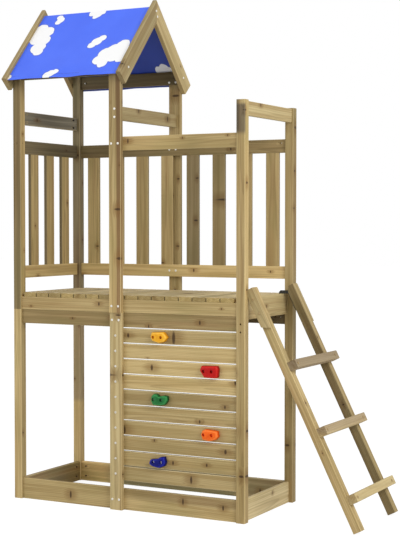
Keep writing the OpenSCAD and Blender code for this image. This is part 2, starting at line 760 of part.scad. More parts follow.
// Ladder frame: x away from the wall, y front to back, z up the slope
module on_ladder() {
  translate([foot_x, 0, 0]) rotate([0, ladder_a - 90, 0]) children();
}
module post_face_cut() {
  translate([frame_l - 2 * bar_s, 0, 0]) cube([2 * bar_s + seat, frame_w, 2 * deck_z]);
}
side_y = [side_f + bar_s / 2, side_b + bar_s / 2];
module rung_screw_places() {
  for (i = [0:rung_n - 1]) for (y = side_y)
    on_ladder() translate([2 * bar_s, y, rung_s(i)]) rotate([0, -90, 0]) children();
}
rung_screw_len = bar_s * 1.6;
rail_bite = 20;
cheek_screw_len = cheek_t + rail_bite;
hook_screw_len = hook_t + rail_bite;
cheek_z = deck_z - cheek_drop;
cheek_edge = 45;
cheek_pitch = 60;
CHEEK_S = [for (k = [0, 1]) ladder_len - cheek_edge - k * cheek_pitch];
strap_edge = 12;
strap_pitch = 28;
strap_s = (deck_z + hook_h) / sin(ladder_a) - strap_l;
HOOK_S = [for (k = [0, 1]) strap_s + strap_edge + k * strap_pitch];
module cheek_screw_places() {
  for (s = CHEEK_S) on_ladder() {
    along_y([bar_s / 2, side_f - cheek_t, s], 1) children();
    along_y([bar_s / 2, side_b + bar_s + cheek_t, s], -1) children();
  }
}
module hook_screw_places() {
  for (s = HOOK_S) on_ladder() for (y = side_y)
    translate([-hook_t, y, s]) rotate([0, 90, 0]) children();
}
module stringer(y) {
  difference() {
    on_ladder() bar_along_z([0, bar_s], [y, y + bar_s], [0, ladder_len]);
    post_face_cut();
    rung_screw_places() screw_bore(rung_screw_len);
    cheek_screw_places() screw_bore(cheek_screw_len);
    hook_screw_places() screw_bore(hook_screw_len);
  }
}
module stringer_front() color(pine_pale) placed() stringer(side_f);
module stringer_back() color(pine) placed() stringer(side_b);
module ladder_rungs() color(pine_pale) placed() difference() {
  for (i = [0:rung_n - 1]) on_ladder()
    bar_along_y([bar_s, 2 * bar_s], [side_f, yb], [rung_s(i) - bar_s / 2, rung_s(i) + bar_s / 2]);
  rung_screw_places() screw_bore(rung_screw_len);
}

// Cheek blocks on the outer sides of the ladder's top, cut level below
module ladder_cheeks() color(pine_pale) placed() difference() {
  on_ladder() for (y = [side_f - cheek_t, side_b + bar_s])
    bar_along_z([0, bar_s], [y, y + cheek_t], [0, ladder_len]);
  post_face_cut();
  translate([frame_l, 0, 0]) cube([2 * deck_z, frame_w, cheek_z]);
  cheek_screw_places() screw_bore(cheek_screw_len);
}

// Steel hooks, each a plate welded to a strap, which hang over the deck's end board
hook_x = frame_l - rim_end_in - board_t - seat;
hook_slant = 7;
function strap_x(z) = foot_x - z / tan(ladder_a) - hook_t / (2 * sin(ladder_a));
module hook(y) {
  low = deck_z + seat;
  high = deck_z + hook_h;
  translate([0, y + hook_t / 2, 0]) rotate([90, 0, 0]) linear_extrude(hook_t) polygon([
    [hook_x - hook_lip, deck_z - hook_drop], [hook_x, deck_z - hook_drop], [hook_x, low],
    [strap_x(low), low], [strap_x(high), high],
    [hook_x - hook_lip + hook_slant, high], [hook_x - hook_lip, high - hook_slant]
  ]);
  on_ladder() translate([-hook_t, y - strap_w / 2, strap_s]) cube([hook_t, strap_w, strap_l]);
}
module ladder_hooks() color(dark_steel) placed() difference() {
  for (y = side_y) hook(y);
  hook_screw_places() screw_bore(hook_screw_len);
}

// Fasteners, each group drawn as separate solids
module splice_dowels() color(pine_pale) placed()
  for (d = DOWELS) translate([d[0], d[1], splice_z - dowel_l / 2]) cylinder(r = dowel_r, h = dowel_l);
module frame_screws() color(steel) placed() {
  for (s = concat(FC_LOW, FC_UP, FC_BAR, BC_UP, BC_BAR)) along_y(s[0], s[1]) screw(s[2]);
  for (s = concat(RAFTER_L, RAFTER_R)) along_x(s[0], s[1]) screw(s[2]);
}
module wall_screws() color(steel) placed() {
  for (s = WALL_FC) along_y(s[0], s[1]) screw(s[2]);
  for (t = T_WALL) toe_at(t) screw(toe_len);
}
module base_screws() color(steel) placed() for (t = BASE_TOES) toe_at(t) screw(toe_len);
module rail_screws() color(steel) placed() for (t = RAIL_TOES) toe_at(t) screw(toe_len);
module hold_bolts() color(steel) placed()
  for (i = [0:HOLD_N - 1]) hold_bolt_places(i) screw(hold_bolt_len, bolt_r, bolt_head_r);
module ladder_screws() color(steel) placed() {
  rung_screw_places() screw(rung_screw_len);
  cheek_screw_places() screw(cheek_screw_len);
  hook_screw_places() screw(hook_screw_len);
}

post_fl_lower();
post_fl_upper();
post_bl_lower();
post_bl_upper();
post_fc_lower();
post_fc_upper();
post_bc();
post_fr();
post_br();
base_front();
base_back();
base_left();
base_right();
beam_front();
beam_back();
beam_left();
rim_front();
rim_back();
rim_left();
rim_right();
deck_boards();
wall_boards();
handrail_front();
fence_back_top();
fence_back_low();
fence_back_slats();
fence_left_top();
fence_left_low();
fence_left_slats();
bar_left();
bar_middle();
bar_right();
eave_front();
eave_back();
ridge_beam();
rafter_lf();
rafter_lb();
rafter_rf();
rafter_rb();
roof_sheet();
stringer_front();
stringer_back();
ladder_rungs();
ladder_cheeks();
ladder_hooks();
hold_yellow();
hold_red();
hold_green();
hold_orange();
hold_blue();
splice_dowels();
frame_screws();
wall_screws();
base_screws();
rail_screws();
hold_bolts();
ladder_screws();
deck_screws();
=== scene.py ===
"""Looks of a wooden climbing frame.

Treated pine boards, a printed roof sheet, moulded climbing holds and
zinc-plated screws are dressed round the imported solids, in a pale studio.
"""

import logging
import math
import random
import zlib
from dataclasses import dataclass
from enum import Enum
from typing import Callable, Optional, Sequence, Union

import bpy
import numpy as np
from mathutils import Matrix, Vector


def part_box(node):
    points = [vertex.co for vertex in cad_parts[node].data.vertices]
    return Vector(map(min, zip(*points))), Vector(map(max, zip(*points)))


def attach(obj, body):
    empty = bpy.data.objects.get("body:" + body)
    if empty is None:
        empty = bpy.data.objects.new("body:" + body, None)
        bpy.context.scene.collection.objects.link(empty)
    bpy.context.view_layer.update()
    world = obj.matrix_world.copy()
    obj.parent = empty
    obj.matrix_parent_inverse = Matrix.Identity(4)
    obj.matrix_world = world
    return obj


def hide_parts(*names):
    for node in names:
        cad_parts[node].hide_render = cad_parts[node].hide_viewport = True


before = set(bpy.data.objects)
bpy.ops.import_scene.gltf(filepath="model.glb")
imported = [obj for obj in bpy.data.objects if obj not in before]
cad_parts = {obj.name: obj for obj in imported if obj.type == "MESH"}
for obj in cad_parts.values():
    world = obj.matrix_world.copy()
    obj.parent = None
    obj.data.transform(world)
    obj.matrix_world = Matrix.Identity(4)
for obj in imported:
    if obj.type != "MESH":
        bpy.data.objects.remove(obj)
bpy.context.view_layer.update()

LOG = logging.getLogger("climbing_frame")
BODY = "root"
MM = 0.001
Triple = tuple[float, float, float]
Colour = Triple
Scalar = Union["Val", float]

# The frame's axes, by number and as directions
X, Y, Z = range(3)
X_AXIS, Y_AXIS, Z_AXIS = Vector((1, 0, 0)), Vector((0, 1, 0)), Vector((0, 0, 1))

# Angles of the roof and of the ladder above the ground, in degrees
ROOF_SLOPE = 47.57
LADDER_SLOPE = 63.6
ROOF_COS = math.cos(math.radians(ROOF_SLOPE))
ROOF_SIN = math.sin(math.radians(ROOF_SLOPE))

# How far the pocket screws reach past the bar that they hold
SCREW_REACH = 60 * MM


def linear(code: str) -> Colour:
    """Turns a hex colour into scene-linear red, green and blue.

    Args:
        code: Six hex digits after a hash sign.

    Returns:
        The three linear parts, from 0 to 1.
    """
    parts = [int(code[i:i + 2], 16) / 255 for i in (1, 3, 5)]
    return tuple(c / 12.92 if c <= 0.04045 else ((c + 0.055) / 1.055) ** 2.4 for c in parts)


def deselect() -> None:
    """Leaves object mode with nothing selected."""
    if bpy.context.object and bpy.context.object.mode != "OBJECT":
        bpy.ops.object.mode_set(mode="OBJECT")
    bpy.ops.object.select_all(action="DESELECT")


def activate(piece: bpy.types.Object) -> bpy.types.Object:
    """Selects one object alone and makes it active.

    Args:
        piece: The object that the next operators act on.

    Returns:
        The same object.
    """
    deselect()
    piece.select_set(True)
    bpy.context.view_layer.objects.active = piece
    return piece


def apply_modifiers(piece: bpy.types.Object) -> None:
    """Applies every modifier of an object, first to last.

    Args:
        piece: The object to finish.
    """
    activate(piece)
    for modifier in list(piece.modifiers):
        bpy.ops.object.modifier_apply(modifier=modifier.name)


def settle(piece: bpy.types.Object, name: str) -> bpy.types.Object:
    """Names an object and moves its place into its mesh.

    Args:
        piece: The object to settle at the origin.
        name: Its final name.

    Returns:
        The same object.
    """
    activate(piece)
    bpy.ops.object.transform_apply(location=True, rotation=True, scale=True)
    piece.name = name
    piece.data.name = name
    return piece


class Element(Enum):
    """What edit mode selects, with the name of its list in a mesh."""

    EDGE = "edges"
    FACE = "polygons"


def pick(piece: bpy.types.Object, kind: Element, wanted: Callable[..., bool]) -> None:
    """Goes into edit mode with some of an object's edges or faces selected.

    Args:
        piece: The active object.
        kind: Whether edges or faces are selected.
        wanted: Says which of them to select.
    """
    bpy.ops.object.mode_set(mode="EDIT")
    bpy.ops.mesh.select_all(action="DESELECT")
    bpy.ops.object.mode_set(mode="OBJECT")
    for item in getattr(piece.data, kind.value):
        item.select = wanted(item)
    bpy.ops.object.mode_set(mode="EDIT")
    bpy.ops.mesh.select_mode(type=kind.name)


def cut_away(piece: bpy.types.Object, cutter: bpy.types.Object) -> None:
    """Cuts one object out of another and removes it.

    Args:
        piece: The object that is cut.
        cutter: The shape that is taken away.
    """
    cut = piece.modifiers.new("cut", "BOOLEAN")
    cut.object, cut.solver = cutter, "EXACT"
    apply_modifiers(piece)
    bpy.data.objects.remove(cutter)


def between(share: Scalar, low: float, high: float) -> Scalar:
    """The value at a share of the way from low to high."""
    return share * (high - low) + low


class Val:
    """A shader socket that takes part in Python arithmetic."""

    def __init__(self, graph: "Graph", socket: bpy.types.NodeSocket) -> None:
        """Wraps one output socket of a graph."""
        self.graph = graph
        self.socket = socket

    def __add__(self, other: Scalar) -> "Val":
        """Sum of two values."""
        return self.graph.math("ADD", self, other)

    __radd__ = __add__

    def __sub__(self, other: Scalar) -> "Val":
        """Difference of two values."""
        return self.graph.math("SUBTRACT", self, other)

    def __rsub__(self, other: Scalar) -> "Val":
        """Difference with this value last."""
        return self.graph.math("SUBTRACT", other, self)

    def __mul__(self, other: Scalar) -> "Val":
        """Product of two values."""
        return self.graph.math("MULTIPLY", self, other)

    __rmul__ = __mul__

    def __truediv__(self, other: Scalar) -> "Val":
        """Quotient of two values."""
        return self.graph.math("DIVIDE", self, other)

    def __neg__(self) -> "Val":
        """The value with its sign turned."""
        return self.graph.math("MULTIPLY", self, -1.0)

    def floor(self) -> "Val":
        """The whole number below."""
        return self.graph.math("FLOOR", self)

    def fract(self) -> "Val":
        """What is left above the whole number below."""
        return self.graph.math("FRACT", self)

    def root(self) -> "Val":
        """The square root."""
        return self.graph.math("SQRT", self)

    def size(self) -> "Val":
        """The value without its sign."""
        return self.graph.math("ABSOLUTE", self)

    def cos(self) -> "Val":
        """The cosine of an angle in radians."""
        return self.graph.math("COSINE", self)

    def sin(self) -> "Val":
        """The sine of an angle in radians."""
        return self.graph.math("SINE", self)

    def least(self, other: Scalar) -> "Val":
        """The smaller of two values."""
        return self.graph.math("MINIMUM", self, other)

    def above(self, limit: Scalar) -> "Val":
        """One where the value passes a limit, and zero elsewhere."""
        return self.graph.math("GREATER_THAN", self, limit)

    def step(self, low: Scalar, high: Scalar) -> "Val":
        """A smooth step from 0 at one value to 1 at another.

        Args:
            low: Where the step starts.
            high: Where it ends.

        Returns:
            The stepped value.
        """
        return self.graph.node(
            "ShaderNodeMapRange",
            {"interpolation_type": "SMOOTHSTEP"},
            {"Value": self, "From Min": low, "From Max": high},
        )


class Graph:
    """The node tree of one material or of the surround."""

    def __init__(self, owner: Union[bpy.types.Material, bpy.types.World]) -> None:
        """Empties the tree of its owner.

        Args:
            owner: The material or the surround.
        """
        owner.use_nodes = True
        self.owner = owner
        self.tree = owner.node_tree
        self.tree.nodes.clear()

    @classmethod
    def material(cls, name: str) -> "Graph":
        """Starts the tree of a new material."""
        return cls(bpy.data.materials.new(name))

    def node(
        self,
        kind: str,
        settings: Optional[dict] = None,
        sockets: Optional[dict] = None,
        out: Union[int, str] = 0,
    ) -> Optional[Val]:
        """Adds one node, sets it up and links it.

        Args:
            kind: The node's type name.
            settings: Its own settings, which are set first.
            sockets: Values or links by input name, identifier or index.
            out: The output to hand back, by name, identifier or index.

        Returns:
            The chosen output, or nothing from a node that has none.
        """
        made = self.tree.nodes.new(kind)
        for key, value in (settings or {}).items():
            setattr(made, key, value)
        for key, value in (sockets or {}).items():
            target = self.find(made.inputs, key)
            if isinstance(value, Val):
                self.tree.links.new(value.socket, target)
            elif isinstance(value, tuple) and len(value) == 3 and target.type == "RGBA":
                target.default_value = (*value, 1.0)
            else:
                target.default_value = value
        return Val(self, self.find(made.outputs, out)) if made.outputs else None

    @staticmethod
    def find(sockets: Sequence, key: Union[int, str]) -> bpy.types.NodeSocket:
        """Finds a socket by index, identifier or name.

        Args:
            sockets: A node's inputs or outputs.
            key: What to look for.

        Returns:
            The socket.
        """
        if isinstance(key, int):
            return sockets[key]
        for socket in sockets:
            if socket.identifier == key:
                return socket
        return sockets[key]

    def math(self, operation: str, *values: Scalar) -> Val:
        """Adds one Math node on values and numbers."""
        return self.node("ShaderNodeMath", {"operation": operation}, dict(enumerate(values)))

    def vector(self, x: Scalar, y: Scalar, z: Scalar) -> Val:
        """Combines three values into a vector."""
        return self.node("ShaderNodeCombineXYZ", None, {0: x, 1: y, 2: z})

    def parts(self, vector: Val) -> tuple[Val, Val, Val]:
        """Separates a vector or colour into three values.

        Args:
            vector: The vector to take apart.

        Returns:
            Its three parts.
        """
        first = self.node("ShaderNodeSeparateXYZ", None, {0: vector})
        outputs = first.socket.node.outputs
        return first, Val(self, outputs[1]), Val(self, outputs[2])

    def dot(self, vector: Val, axis: Vector) -> Val:
        """Measures a vector along an axis.

        Args:
            vector: The vector to measure.
            axis: A direction of length one.

        Returns:
            The part along the axis.
        """
        return self.node(
            "ShaderNodeVectorMath",
            {"operation": "DOT_PRODUCT"},
            {0: vector, 1: tuple(axis)},
            out="Value",
        )

    def distance(self, vector: Val, point: Triple) -> Val:
        """Measures how far a vector lies from a point.

        Args:
            vector: The vector to measure.
            point: The fixed point.

        Returns:
            The distance.
        """
        return self.node(
            "ShaderNodeVectorMath",
            {"operation": "DISTANCE"},
            {0: vector, 1: point},
            out="Value",
        )

    def noise(self, vector: Val, scale: float, detail: float = 2.0, out: str = "Fac") -> Val:
        """Adds smooth noise over a vector.

        Args:
            vector: Where the noise is read.
            scale: Its cells per unit.
            detail: How many finer layers it has.
            out: The output to hand back.

        Returns:
            Values about 0.5.
        """
        return self.node(
            "ShaderNodeTexNoise",
            None,
            {"Vector": vector, "Scale": scale, "Detail": detail},
            out=out,
        )

    def scatter(self, vector: Val) -> tuple[Val, Val, Val]:
        """Draws three even random values for each vector.

        Args:
            vector: The whole numbers of a cell.

        Returns:
            The values, from 0 to 1.
        """
        colour = self.node(
            "ShaderNodeTexWhiteNoise", {"noise_dimensions": "3D"}, {"Vector": vector}, out="Color"
        )
        return self.parts(colour)

    def mix(
        self,
        factor: Scalar,
        first: Union[Val, Colour],
        second: Union[Val, Colour],
        blend: str = "MIX",
    ) -> Val:
        """Mixes two colours.

        Args:
            factor: The share of the second, held between 0 and 1.
            first: The colour below.
            second: The colour above.
            blend: How the second acts on the first.

        Returns:
            The mixed colour.
        """
        return self.node(
            "ShaderNodeMix",
            {"data_type": "RGBA", "blend_type": blend, "clamp_factor": True},
            {"Factor_Float": factor, "A_Color": first, "B_Color": second},
            out="Result_Color",
        )

    def scale(self, colour: Val, factor: Scalar) -> Val:
        """Makes a colour lighter or darker.

        Args:
            colour: The colour.
            factor: What its three parts are multiplied by.

        Returns:
            The new colour.
        """
        return self.node(
            "ShaderNodeVectorMath", {"operation": "SCALE"}, {0: colour, "Scale": factor}
        )

    def bump(self, height: Val, strength: float, depth: float) -> Val:
        """Makes a normal from a height.

        Args:
            height: The height over the surface.
            strength: How far the bump acts.
            depth: The height of one unit, in metres.

        Returns:
            The normal, for the shader's Normal socket.
        """
        return self.node(
            "ShaderNodeBump", None, {"Strength": strength, "Distance": depth, "Height": height}
        )

    def surface(self, sockets: dict) -> bpy.types.Material:
        """Closes the tree with a Principled shader.

        Args:
            sockets: The shader's values and links by input name.

        Returns:
            The finished material.
        """
        shader = self.node("ShaderNodeBsdfPrincipled", None, sockets)
        self.node("ShaderNodeOutputMaterial", None, {"Surface": shader})
        return self.owner


def lean(heading: Vector, side: Vector, degrees: float) -> tuple[Vector, Vector, Vector]:
    """Finds the axes of a board that leans.

    Args:
        heading: The level direction in which it rises.
        side: The level direction across it.
        degrees: Its angle above the ground.

    Returns:
        The directions along, across and through the board.
    """
    c, s = math.cos(math.radians(degrees)), math.sin(math.radians(degrees))
    return heading * c + Z_AXIS * s, side, Z_AXIS * c - heading * s


class Grain(Enum):
    """Directions along, across and through a board."""

    LENGTH = (X_AXIS, Y_AXIS, Z_AXIS)
    DEPTH = (Y_AXIS, X_AXIS, Z_AXIS)
    UPRIGHT = (Z_AXIS, X_AXIS, Y_AXIS)
    RAFTER_FRONT = lean(Y_AXIS, X_AXIS, ROOF_SLOPE)
    RAFTER_BACK = lean(-Y_AXIS, X_AXIS, ROOF_SLOPE)
    LADDER = lean(-X_AXIS, Y_AXIS, LADDER_SLOPE)


@dataclass(frozen=True)
class Tone:
    """Colours of one batch of treated pine."""

    light: str
    middle: str
    dark: str
    heart: float
    green: float


class Batch(Enum):
    """The batches of pine that the frame is cut from, with darker, greyer copies that paint shade.
    """

    PLAIN = Tone("#BEA775", "#A78F5E", "#6C5833", 0.25, 0.30)
    PALE = Tone("#CBB785", "#B59D6C", "#78623B", 0.18, 0.18)
    WALL = Tone("#C4AD79", "#B09763", "#78623A", 0.12, 0.18)
    # A darker copy of the plain pine for boards that lie in shade: painted shade
    SHADED = Tone("#AC9464", "#927C4F", "#5C4C2C", 0.28, 0.35)
    BLEACHED = Tone("#D2C094", "#BCA97C", "#867350", 0.10, 0.12)
    # This slate batch and the grey one below are greyer, darker copies for boards in shade under
    # the roof and the deck: painted shade
    SLATE = Tone("#8D8570", "#756D5A", "#4B4536", 0.10, 0.10)
    GREY = Tone("#9E8C66", "#837353", "#52472D", 0.32, 0.30)


@dataclass(frozen=True)
class Rows:
    """How one node's boards follow each other."""

    axis: Vector
    start: float
    pitch: float


def rows_of(node: str, axis: Vector, count: int, width: float) -> Rows:
    """Works out the row of equal boards in a node.

    Args:
        node: The node that holds them.
        axis: The direction from board to board.
        count: How many there are.
        width: The width of one, in metres.

    Returns:
        The row, with a cell for each board.
    """
    low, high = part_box(node)
    first, last = low.dot(axis), high.dot(axis)
    gap = (last - first - count * width) / (count - 1)
    return Rows(axis, first - gap / 2, width + gap)


@dataclass(frozen=True)
class ShadeAndTonePatch:
    """A soft-edged patch that filters the colour of part of a board: mostly painted shade,
    in gaps and corners and under the roof and the deck, and elsewhere a plain darkening.

    Each ramp is an axis, where the patch starts and where it is full.
    """

    tint: str
    ramps: tuple[tuple[int, float, float], ...]

    def cover(self, g: Graph, place: Val, skin: Val) -> Val:
        """Filters a colour where the patch lies.

        Args:
            g: The material's graph.
            place: Position on the frame.
            skin: The colour below.

        Returns:
            The stained colour.
        """
        spot = g.parts(place)
        shown: Scalar = 1.0
        for axis, start, full in self.ramps:
            shown = spot[axis].step(start, full) * shown
        return g.mix(shown, skin, linear(self.tint), "MULTIPLY")


@dataclass(frozen=True)
class Spot:
    """Where a point lies in its own board, with numbers of that board's own."""

    along: Val
    across: Val
    deep: Val
    board: Scalar
    chance: tuple[Scalar, Scalar, Scalar]


@dataclass(frozen=True)
class Layer:
    """Noise that is drawn out along the grain.

    It has its cells per metre through and along the board, its detail, and
    the values at which it starts to show and shows in full.
    """

    through: float
    along: float
    detail: float
    start: float = 0.0
    full: float = 1.0

    def noise(self, g: Graph, spot: Spot, shift: Scalar = 0.0) -> Val:
        """Reads the layer's noise.

        Args:
            g: The material's graph.
            spot: Place in the board.
            shift: Moves the noise along, so that boards differ.

        Returns:
            Values about 0.5.
        """
        where = g.vector(
            spot.across * self.through, spot.deep * self.through, spot.along * self.along + shift
        )
        return g.noise(where, scale=1.0, detail=self.detail)

    def mask(self, noise: Val) -> Val:
        """How far the layer shows where its noise has a value."""
        return noise.step(self.start, self.full)


STREAK = Layer(70.0, 1.9, 3.0, 0.36, 0.64)
BROAD = Layer(24.0, 1.1, 2.0, 0.50, 0.72)
CLOUD = Layer(9.0, 3.6, 2.0, 0.44, 0.72)
FIBRE = Layer(650.0, 16.0, 2.0)

# Colours that all batches share
HEARTWOOD = "#84582F"
SALT_GREEN = "#847C48"
DARK_STRIPE = "#6B4A2A"
KNOT_HALO = "#74501F"
KNOT_CORE = "#38230F"
END_GRAIN = "#7B6138"

# Shares of the dark tone in late wood and in fibres, and what is taken off both
DARK_LATE, DARK_FIBRE, DARK_LESS = 0.30, 0.26, 0.11

# Heights of the fibres above the early wood, and depths of late wood and knots
FIBRE_HEIGHT, LATE_DEPTH, KNOT_DEPTH = 0.6, 0.5, 0.8

# How far a dark stripe strays, is full and fades
STRIPE_STRAY, STRIPE_FULL, STRIPE_FADE = 12 * MM, 6 * MM, 14 * MM

# How far apart the numbers of neighbouring boards are
BOARD_STEP = 3.7


@dataclass(frozen=True)
class Rings:
    """Growth rings round a heart that lies behind the board's face."""

    gap: float = 6.2 * MM
    beside: float = 70 * MM
    nearest: float = 12 * MM
    farthest: float = 62 * MM
    sway: float = 50 * MM
    sway_cells: float = 1.3
    bend: float = 6 * MM
    drift: float = 1.5
    rise: tuple[float, float] = (0.45, 0.92)
    fall: tuple[float, float] = (0.94, 1.0)

    def slow_noise(self, g: Graph, spot: Spot) -> tuple[Val, Val, Val]:
        """Reads three slow noises along the board, by which its grain sways.

        Args:
            g: The material's graph.
            spot: Place in the board.

        Returns:
            Values about 0.5.
        """
        where = g.vector(spot.along * self.sway_cells, spot.board, 0.0)
        return g.parts(g.noise(where, scale=1.0, detail=1.0, out="Color"))

    def late(self, spot: Spot, sway: tuple[Val, Val, Val], halo: Val) -> Val:
        """Finds the dark late wood of every ring.

        Args:
            spot: Place in the board.
            sway: Three slow noises along the board.
            halo: The grain round the knots, which bends the rings.

        Returns:
            A mask of the late wood.
        """
        aside = (spot.chance[0] - 0.5) * self.beside
        behind = between(spot.chance[1], self.nearest, self.farthest)
        across = spot.across + aside + (sway[0] - 0.5) * self.sway
        deep = spot.deep + behind + (sway[1] - 0.5) * self.sway
        radius = (across * across + deep * deep).root() + halo * self.bend
        ring = (radius / self.gap + sway[2] * self.drift).fract()
        return ring.step(*self.rise) * (1.0 - ring.step(*self.fall))


@dataclass(frozen=True)
class Knots:
    """Branches that cross a board at a slant, so that they show as short dashes.

    Each cell of the board's length may hold one, off the cell's ends. The core
    and the halo fade between two shares of the knot's radius.
    """

    size: float = 1.0
    cell: float = 240 * MM
    share: float = 0.68
    margin: float = 0.15
    slant: float = 2.2
    stray: float = 40 * MM
    least: float = 2.1 * MM
    most: float = 6.9 * MM
    core: tuple[float, float] = (0.5, 1.2)
    core_across: float = 0.34
    halo: tuple[float, float] = (0.6, 2.6)
    halo_along: float = 0.09
    halo_across: float = 0.5

    def masks(self, g: Graph, spot: Spot) -> tuple[Val, Val]:
        """Finds the knots and the grain that bends round them.

        Args:
            g: The material's graph.
            spot: Place in the board.

        Returns:
            A mask of the knots, and a soft one of the grain round them.
        """
        run = spot.along / self.cell + spot.board
        cell = run.floor()
        where, turn, size = g.scatter(g.vector(cell, spot.board, 7.0))
        share, shift, _ = g.scatter(g.vector(cell, spot.board, 19.0))
        there = share.above(1.0 - self.share)
        away = (run - cell - between(where, self.margin, 1.0 - self.margin)) * self.cell
        angle = (turn - 0.5) * self.slant
        beside = spot.deep * angle.cos() - (spot.across - (shift - 0.5) * self.stray) * angle.sin()
        wide = between(size * size, self.least, self.most) * self.size
        reach = (away * away + beside * beside * self.core_across).root()
        knot = (1.0 - reach.step(*(wide * edge for edge in self.core))) * there
        spread = (away * away * self.halo_along + beside * beside * self.halo_across).root()
        halo = (1.0 - spread.step(*(wide * edge for edge in self.halo))) * there
        return knot, halo


@dataclass(frozen=True)
class Pine:
    """Sawn, pressure-treated pine with rings, knots and pale bevelled edges; the pale edges are
    partly a painted highlight.

    The shade, front and side factors are for the whole board, for its front and for its
    narrow faces. The front and side factors are painted shade, and the shade factor is partly
    the board's tone and partly painted shade. Dim is the factor for its low end, which fades
    along dim_axis: painted shade towards a corner or under the roof, and on the wall boards a
    darker lower part.
    """

    node: str
    grain: Grain
    batch: Batch
    rows: Optional[Rows] = None
    shade: float = 1.0
    # Painted shade towards one end, and darker lower wall boards
    dim: float = 1.0
    dim_axis: Vector = Z_AXIS
    # Painted shade on the faces that look forwards
    front: float = 1.0
    # Painted shade on the narrow faces, which also darkens the gaps between boards
    side_shade: float = 1.0
    stripe: Optional[float] = None
    # Patches that filter the colour, mostly painted shade
    shade_and_tone_patches: tuple[ShadeAndTonePatch, ...] = ()
    # The colour and share of the pale bevels, partly a painted highlight
    edge: str = "#D9C48F"
    edge_share: float = 0.42
    knots: Knots = Knots()
    rings: Rings = Rings()

    def material(self) -> bpy.types.Material:
        """Builds the pine of one node.

        Returns:
            Its material.
        """
        g = Graph.material(f"pine_{self.node}")
        place = g.node("ShaderNodeTexCoord", out="Object")
        facing = g.node("ShaderNodeTexCoord", out="Normal")
        spot = self.spot(g, place)
        knot, halo = self.knots.masks(g, spot)
        sway = self.rings.slow_noise(g, spot)
        late = self.rings.late(spot, sway, halo)
        streak = STREAK.noise(g, spot, spot.board)
        fibre = FIBRE.noise(g, spot)

        tone = self.batch.value
        broad = BROAD.mask(BROAD.noise(g, spot, spot.board * 1.3))
        cloud = CLOUD.mask(CLOUD.noise(g, spot, spot.board))
        skin = g.mix(STREAK.mask(streak), linear(tone.light), linear(tone.middle))
        skin = g.mix(late * DARK_LATE + fibre * DARK_FIBRE - DARK_LESS, skin, linear(tone.dark))
        skin = g.mix(broad * tone.heart, skin, linear(HEARTWOOD))
        skin = g.mix(cloud * tone.green, skin, linear(SALT_GREEN))
        if self.stripe is not None:
            stray = spot.across - self.stripe + (sway[0] - 0.5) * STRIPE_STRAY
            band = 1.0 - stray.size().step(STRIPE_FULL, STRIPE_FADE)
            skin = g.mix(band * between(fibre, 0.52, 0.92), skin, linear(DARK_STRIPE))
        skin = g.mix(halo * 0.50, skin, linear(KNOT_HALO))
        skin = g.mix(knot * between(fibre, 0.74, 1.0), skin, linear(KNOT_CORE))
        skin = self.cut_faces(g, facing, late, skin)
        # A random tone for each board, times the shade factor, which is partly tone and partly
        # painted shade
        skin = g.scale(skin, between(spot.chance[2], 0.83, 1.17) * self.shade)
        # Painted shade towards one end, on the front faces and in the gaps
        skin = g.scale(skin, self.painted_shade(g, place, facing))
        # Patches, mostly of painted shade
        for each_patch in self.shade_and_tone_patches:
            skin = each_patch.cover(g, place, skin)
        height = fibre * FIBRE_HEIGHT - late * LATE_DEPTH - knot * KNOT_DEPTH
        return g.surface({
            "Base Color": skin,
            "Roughness": between(streak, 0.60, 0.76),
            "Specular IOR Level": 0.32,
            "Normal": g.bump(height, strength=0.35, depth=0.6 * MM),
        })

    def spot(self, g: Graph, place: Val) -> Spot:
        """Finds where a point lies in its board.

        Args:
            g: The material's graph.
            place: Position on the frame.

        Returns:
            The place in the board, with three random values and one number of its own.
        """
        along_axis, across_axis, deep_axis = self.grain.value
        draw = random.Random(zlib.crc32(self.node.encode()))
        seed = draw.uniform(0, 50)
        chance = (draw.random(), draw.random(), draw.random())
        low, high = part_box(self.node)
        middle = (low + high) / 2
        along = g.dot(place, along_axis)
        across = g.dot(place, across_axis) - middle.dot(across_axis)
        deep = g.dot(place, deep_axis) - middle.dot(deep_axis)
        if self.rows is None:
            return Spot(along, across, deep, seed, chance)
        run = g.dot(place, self.rows.axis)
        index = ((run - self.rows.start) / self.rows.pitch).floor()
        offset = run - index * self.rows.pitch - (self.rows.start + self.rows.pitch / 2)
        if self.rows.axis == across_axis:
            across = offset
        elif self.rows.axis == deep_axis:
            deep = offset
        chance = g.scatter(g.vector(index, seed, 0.0))
        return Spot(along, across, deep, index * BOARD_STEP + seed, chance)

    def cut_faces(self, g: Graph, facing: Val, late: Val, skin: Val) -> Val:
        """Makes the bevelled edges paler, partly as a painted highlight, and the sawn ends darker.

        Args:
            g: The material's graph.
            facing: The surface's own direction.
            late: The late wood, which is darkest at the ends.
            skin: The colour of the faces.

        Returns:
            The colour with edges and ends.
        """
        along_axis, across_axis, deep_axis = self.grain.value
        bevel = (g.dot(facing, across_axis) * g.dot(facing, deep_axis)).size().step(0.2, 0.4)
        # Paler bevels: partly the planed wood, partly a painted highlight
        skin = g.mix(bevel * self.edge_share, skin, linear(self.edge))
        end = g.dot(facing, along_axis).size().step(0.75, 0.9)
        return g.mix(end * between(late, 0.30, 0.65), skin, linear(END_GRAIN))

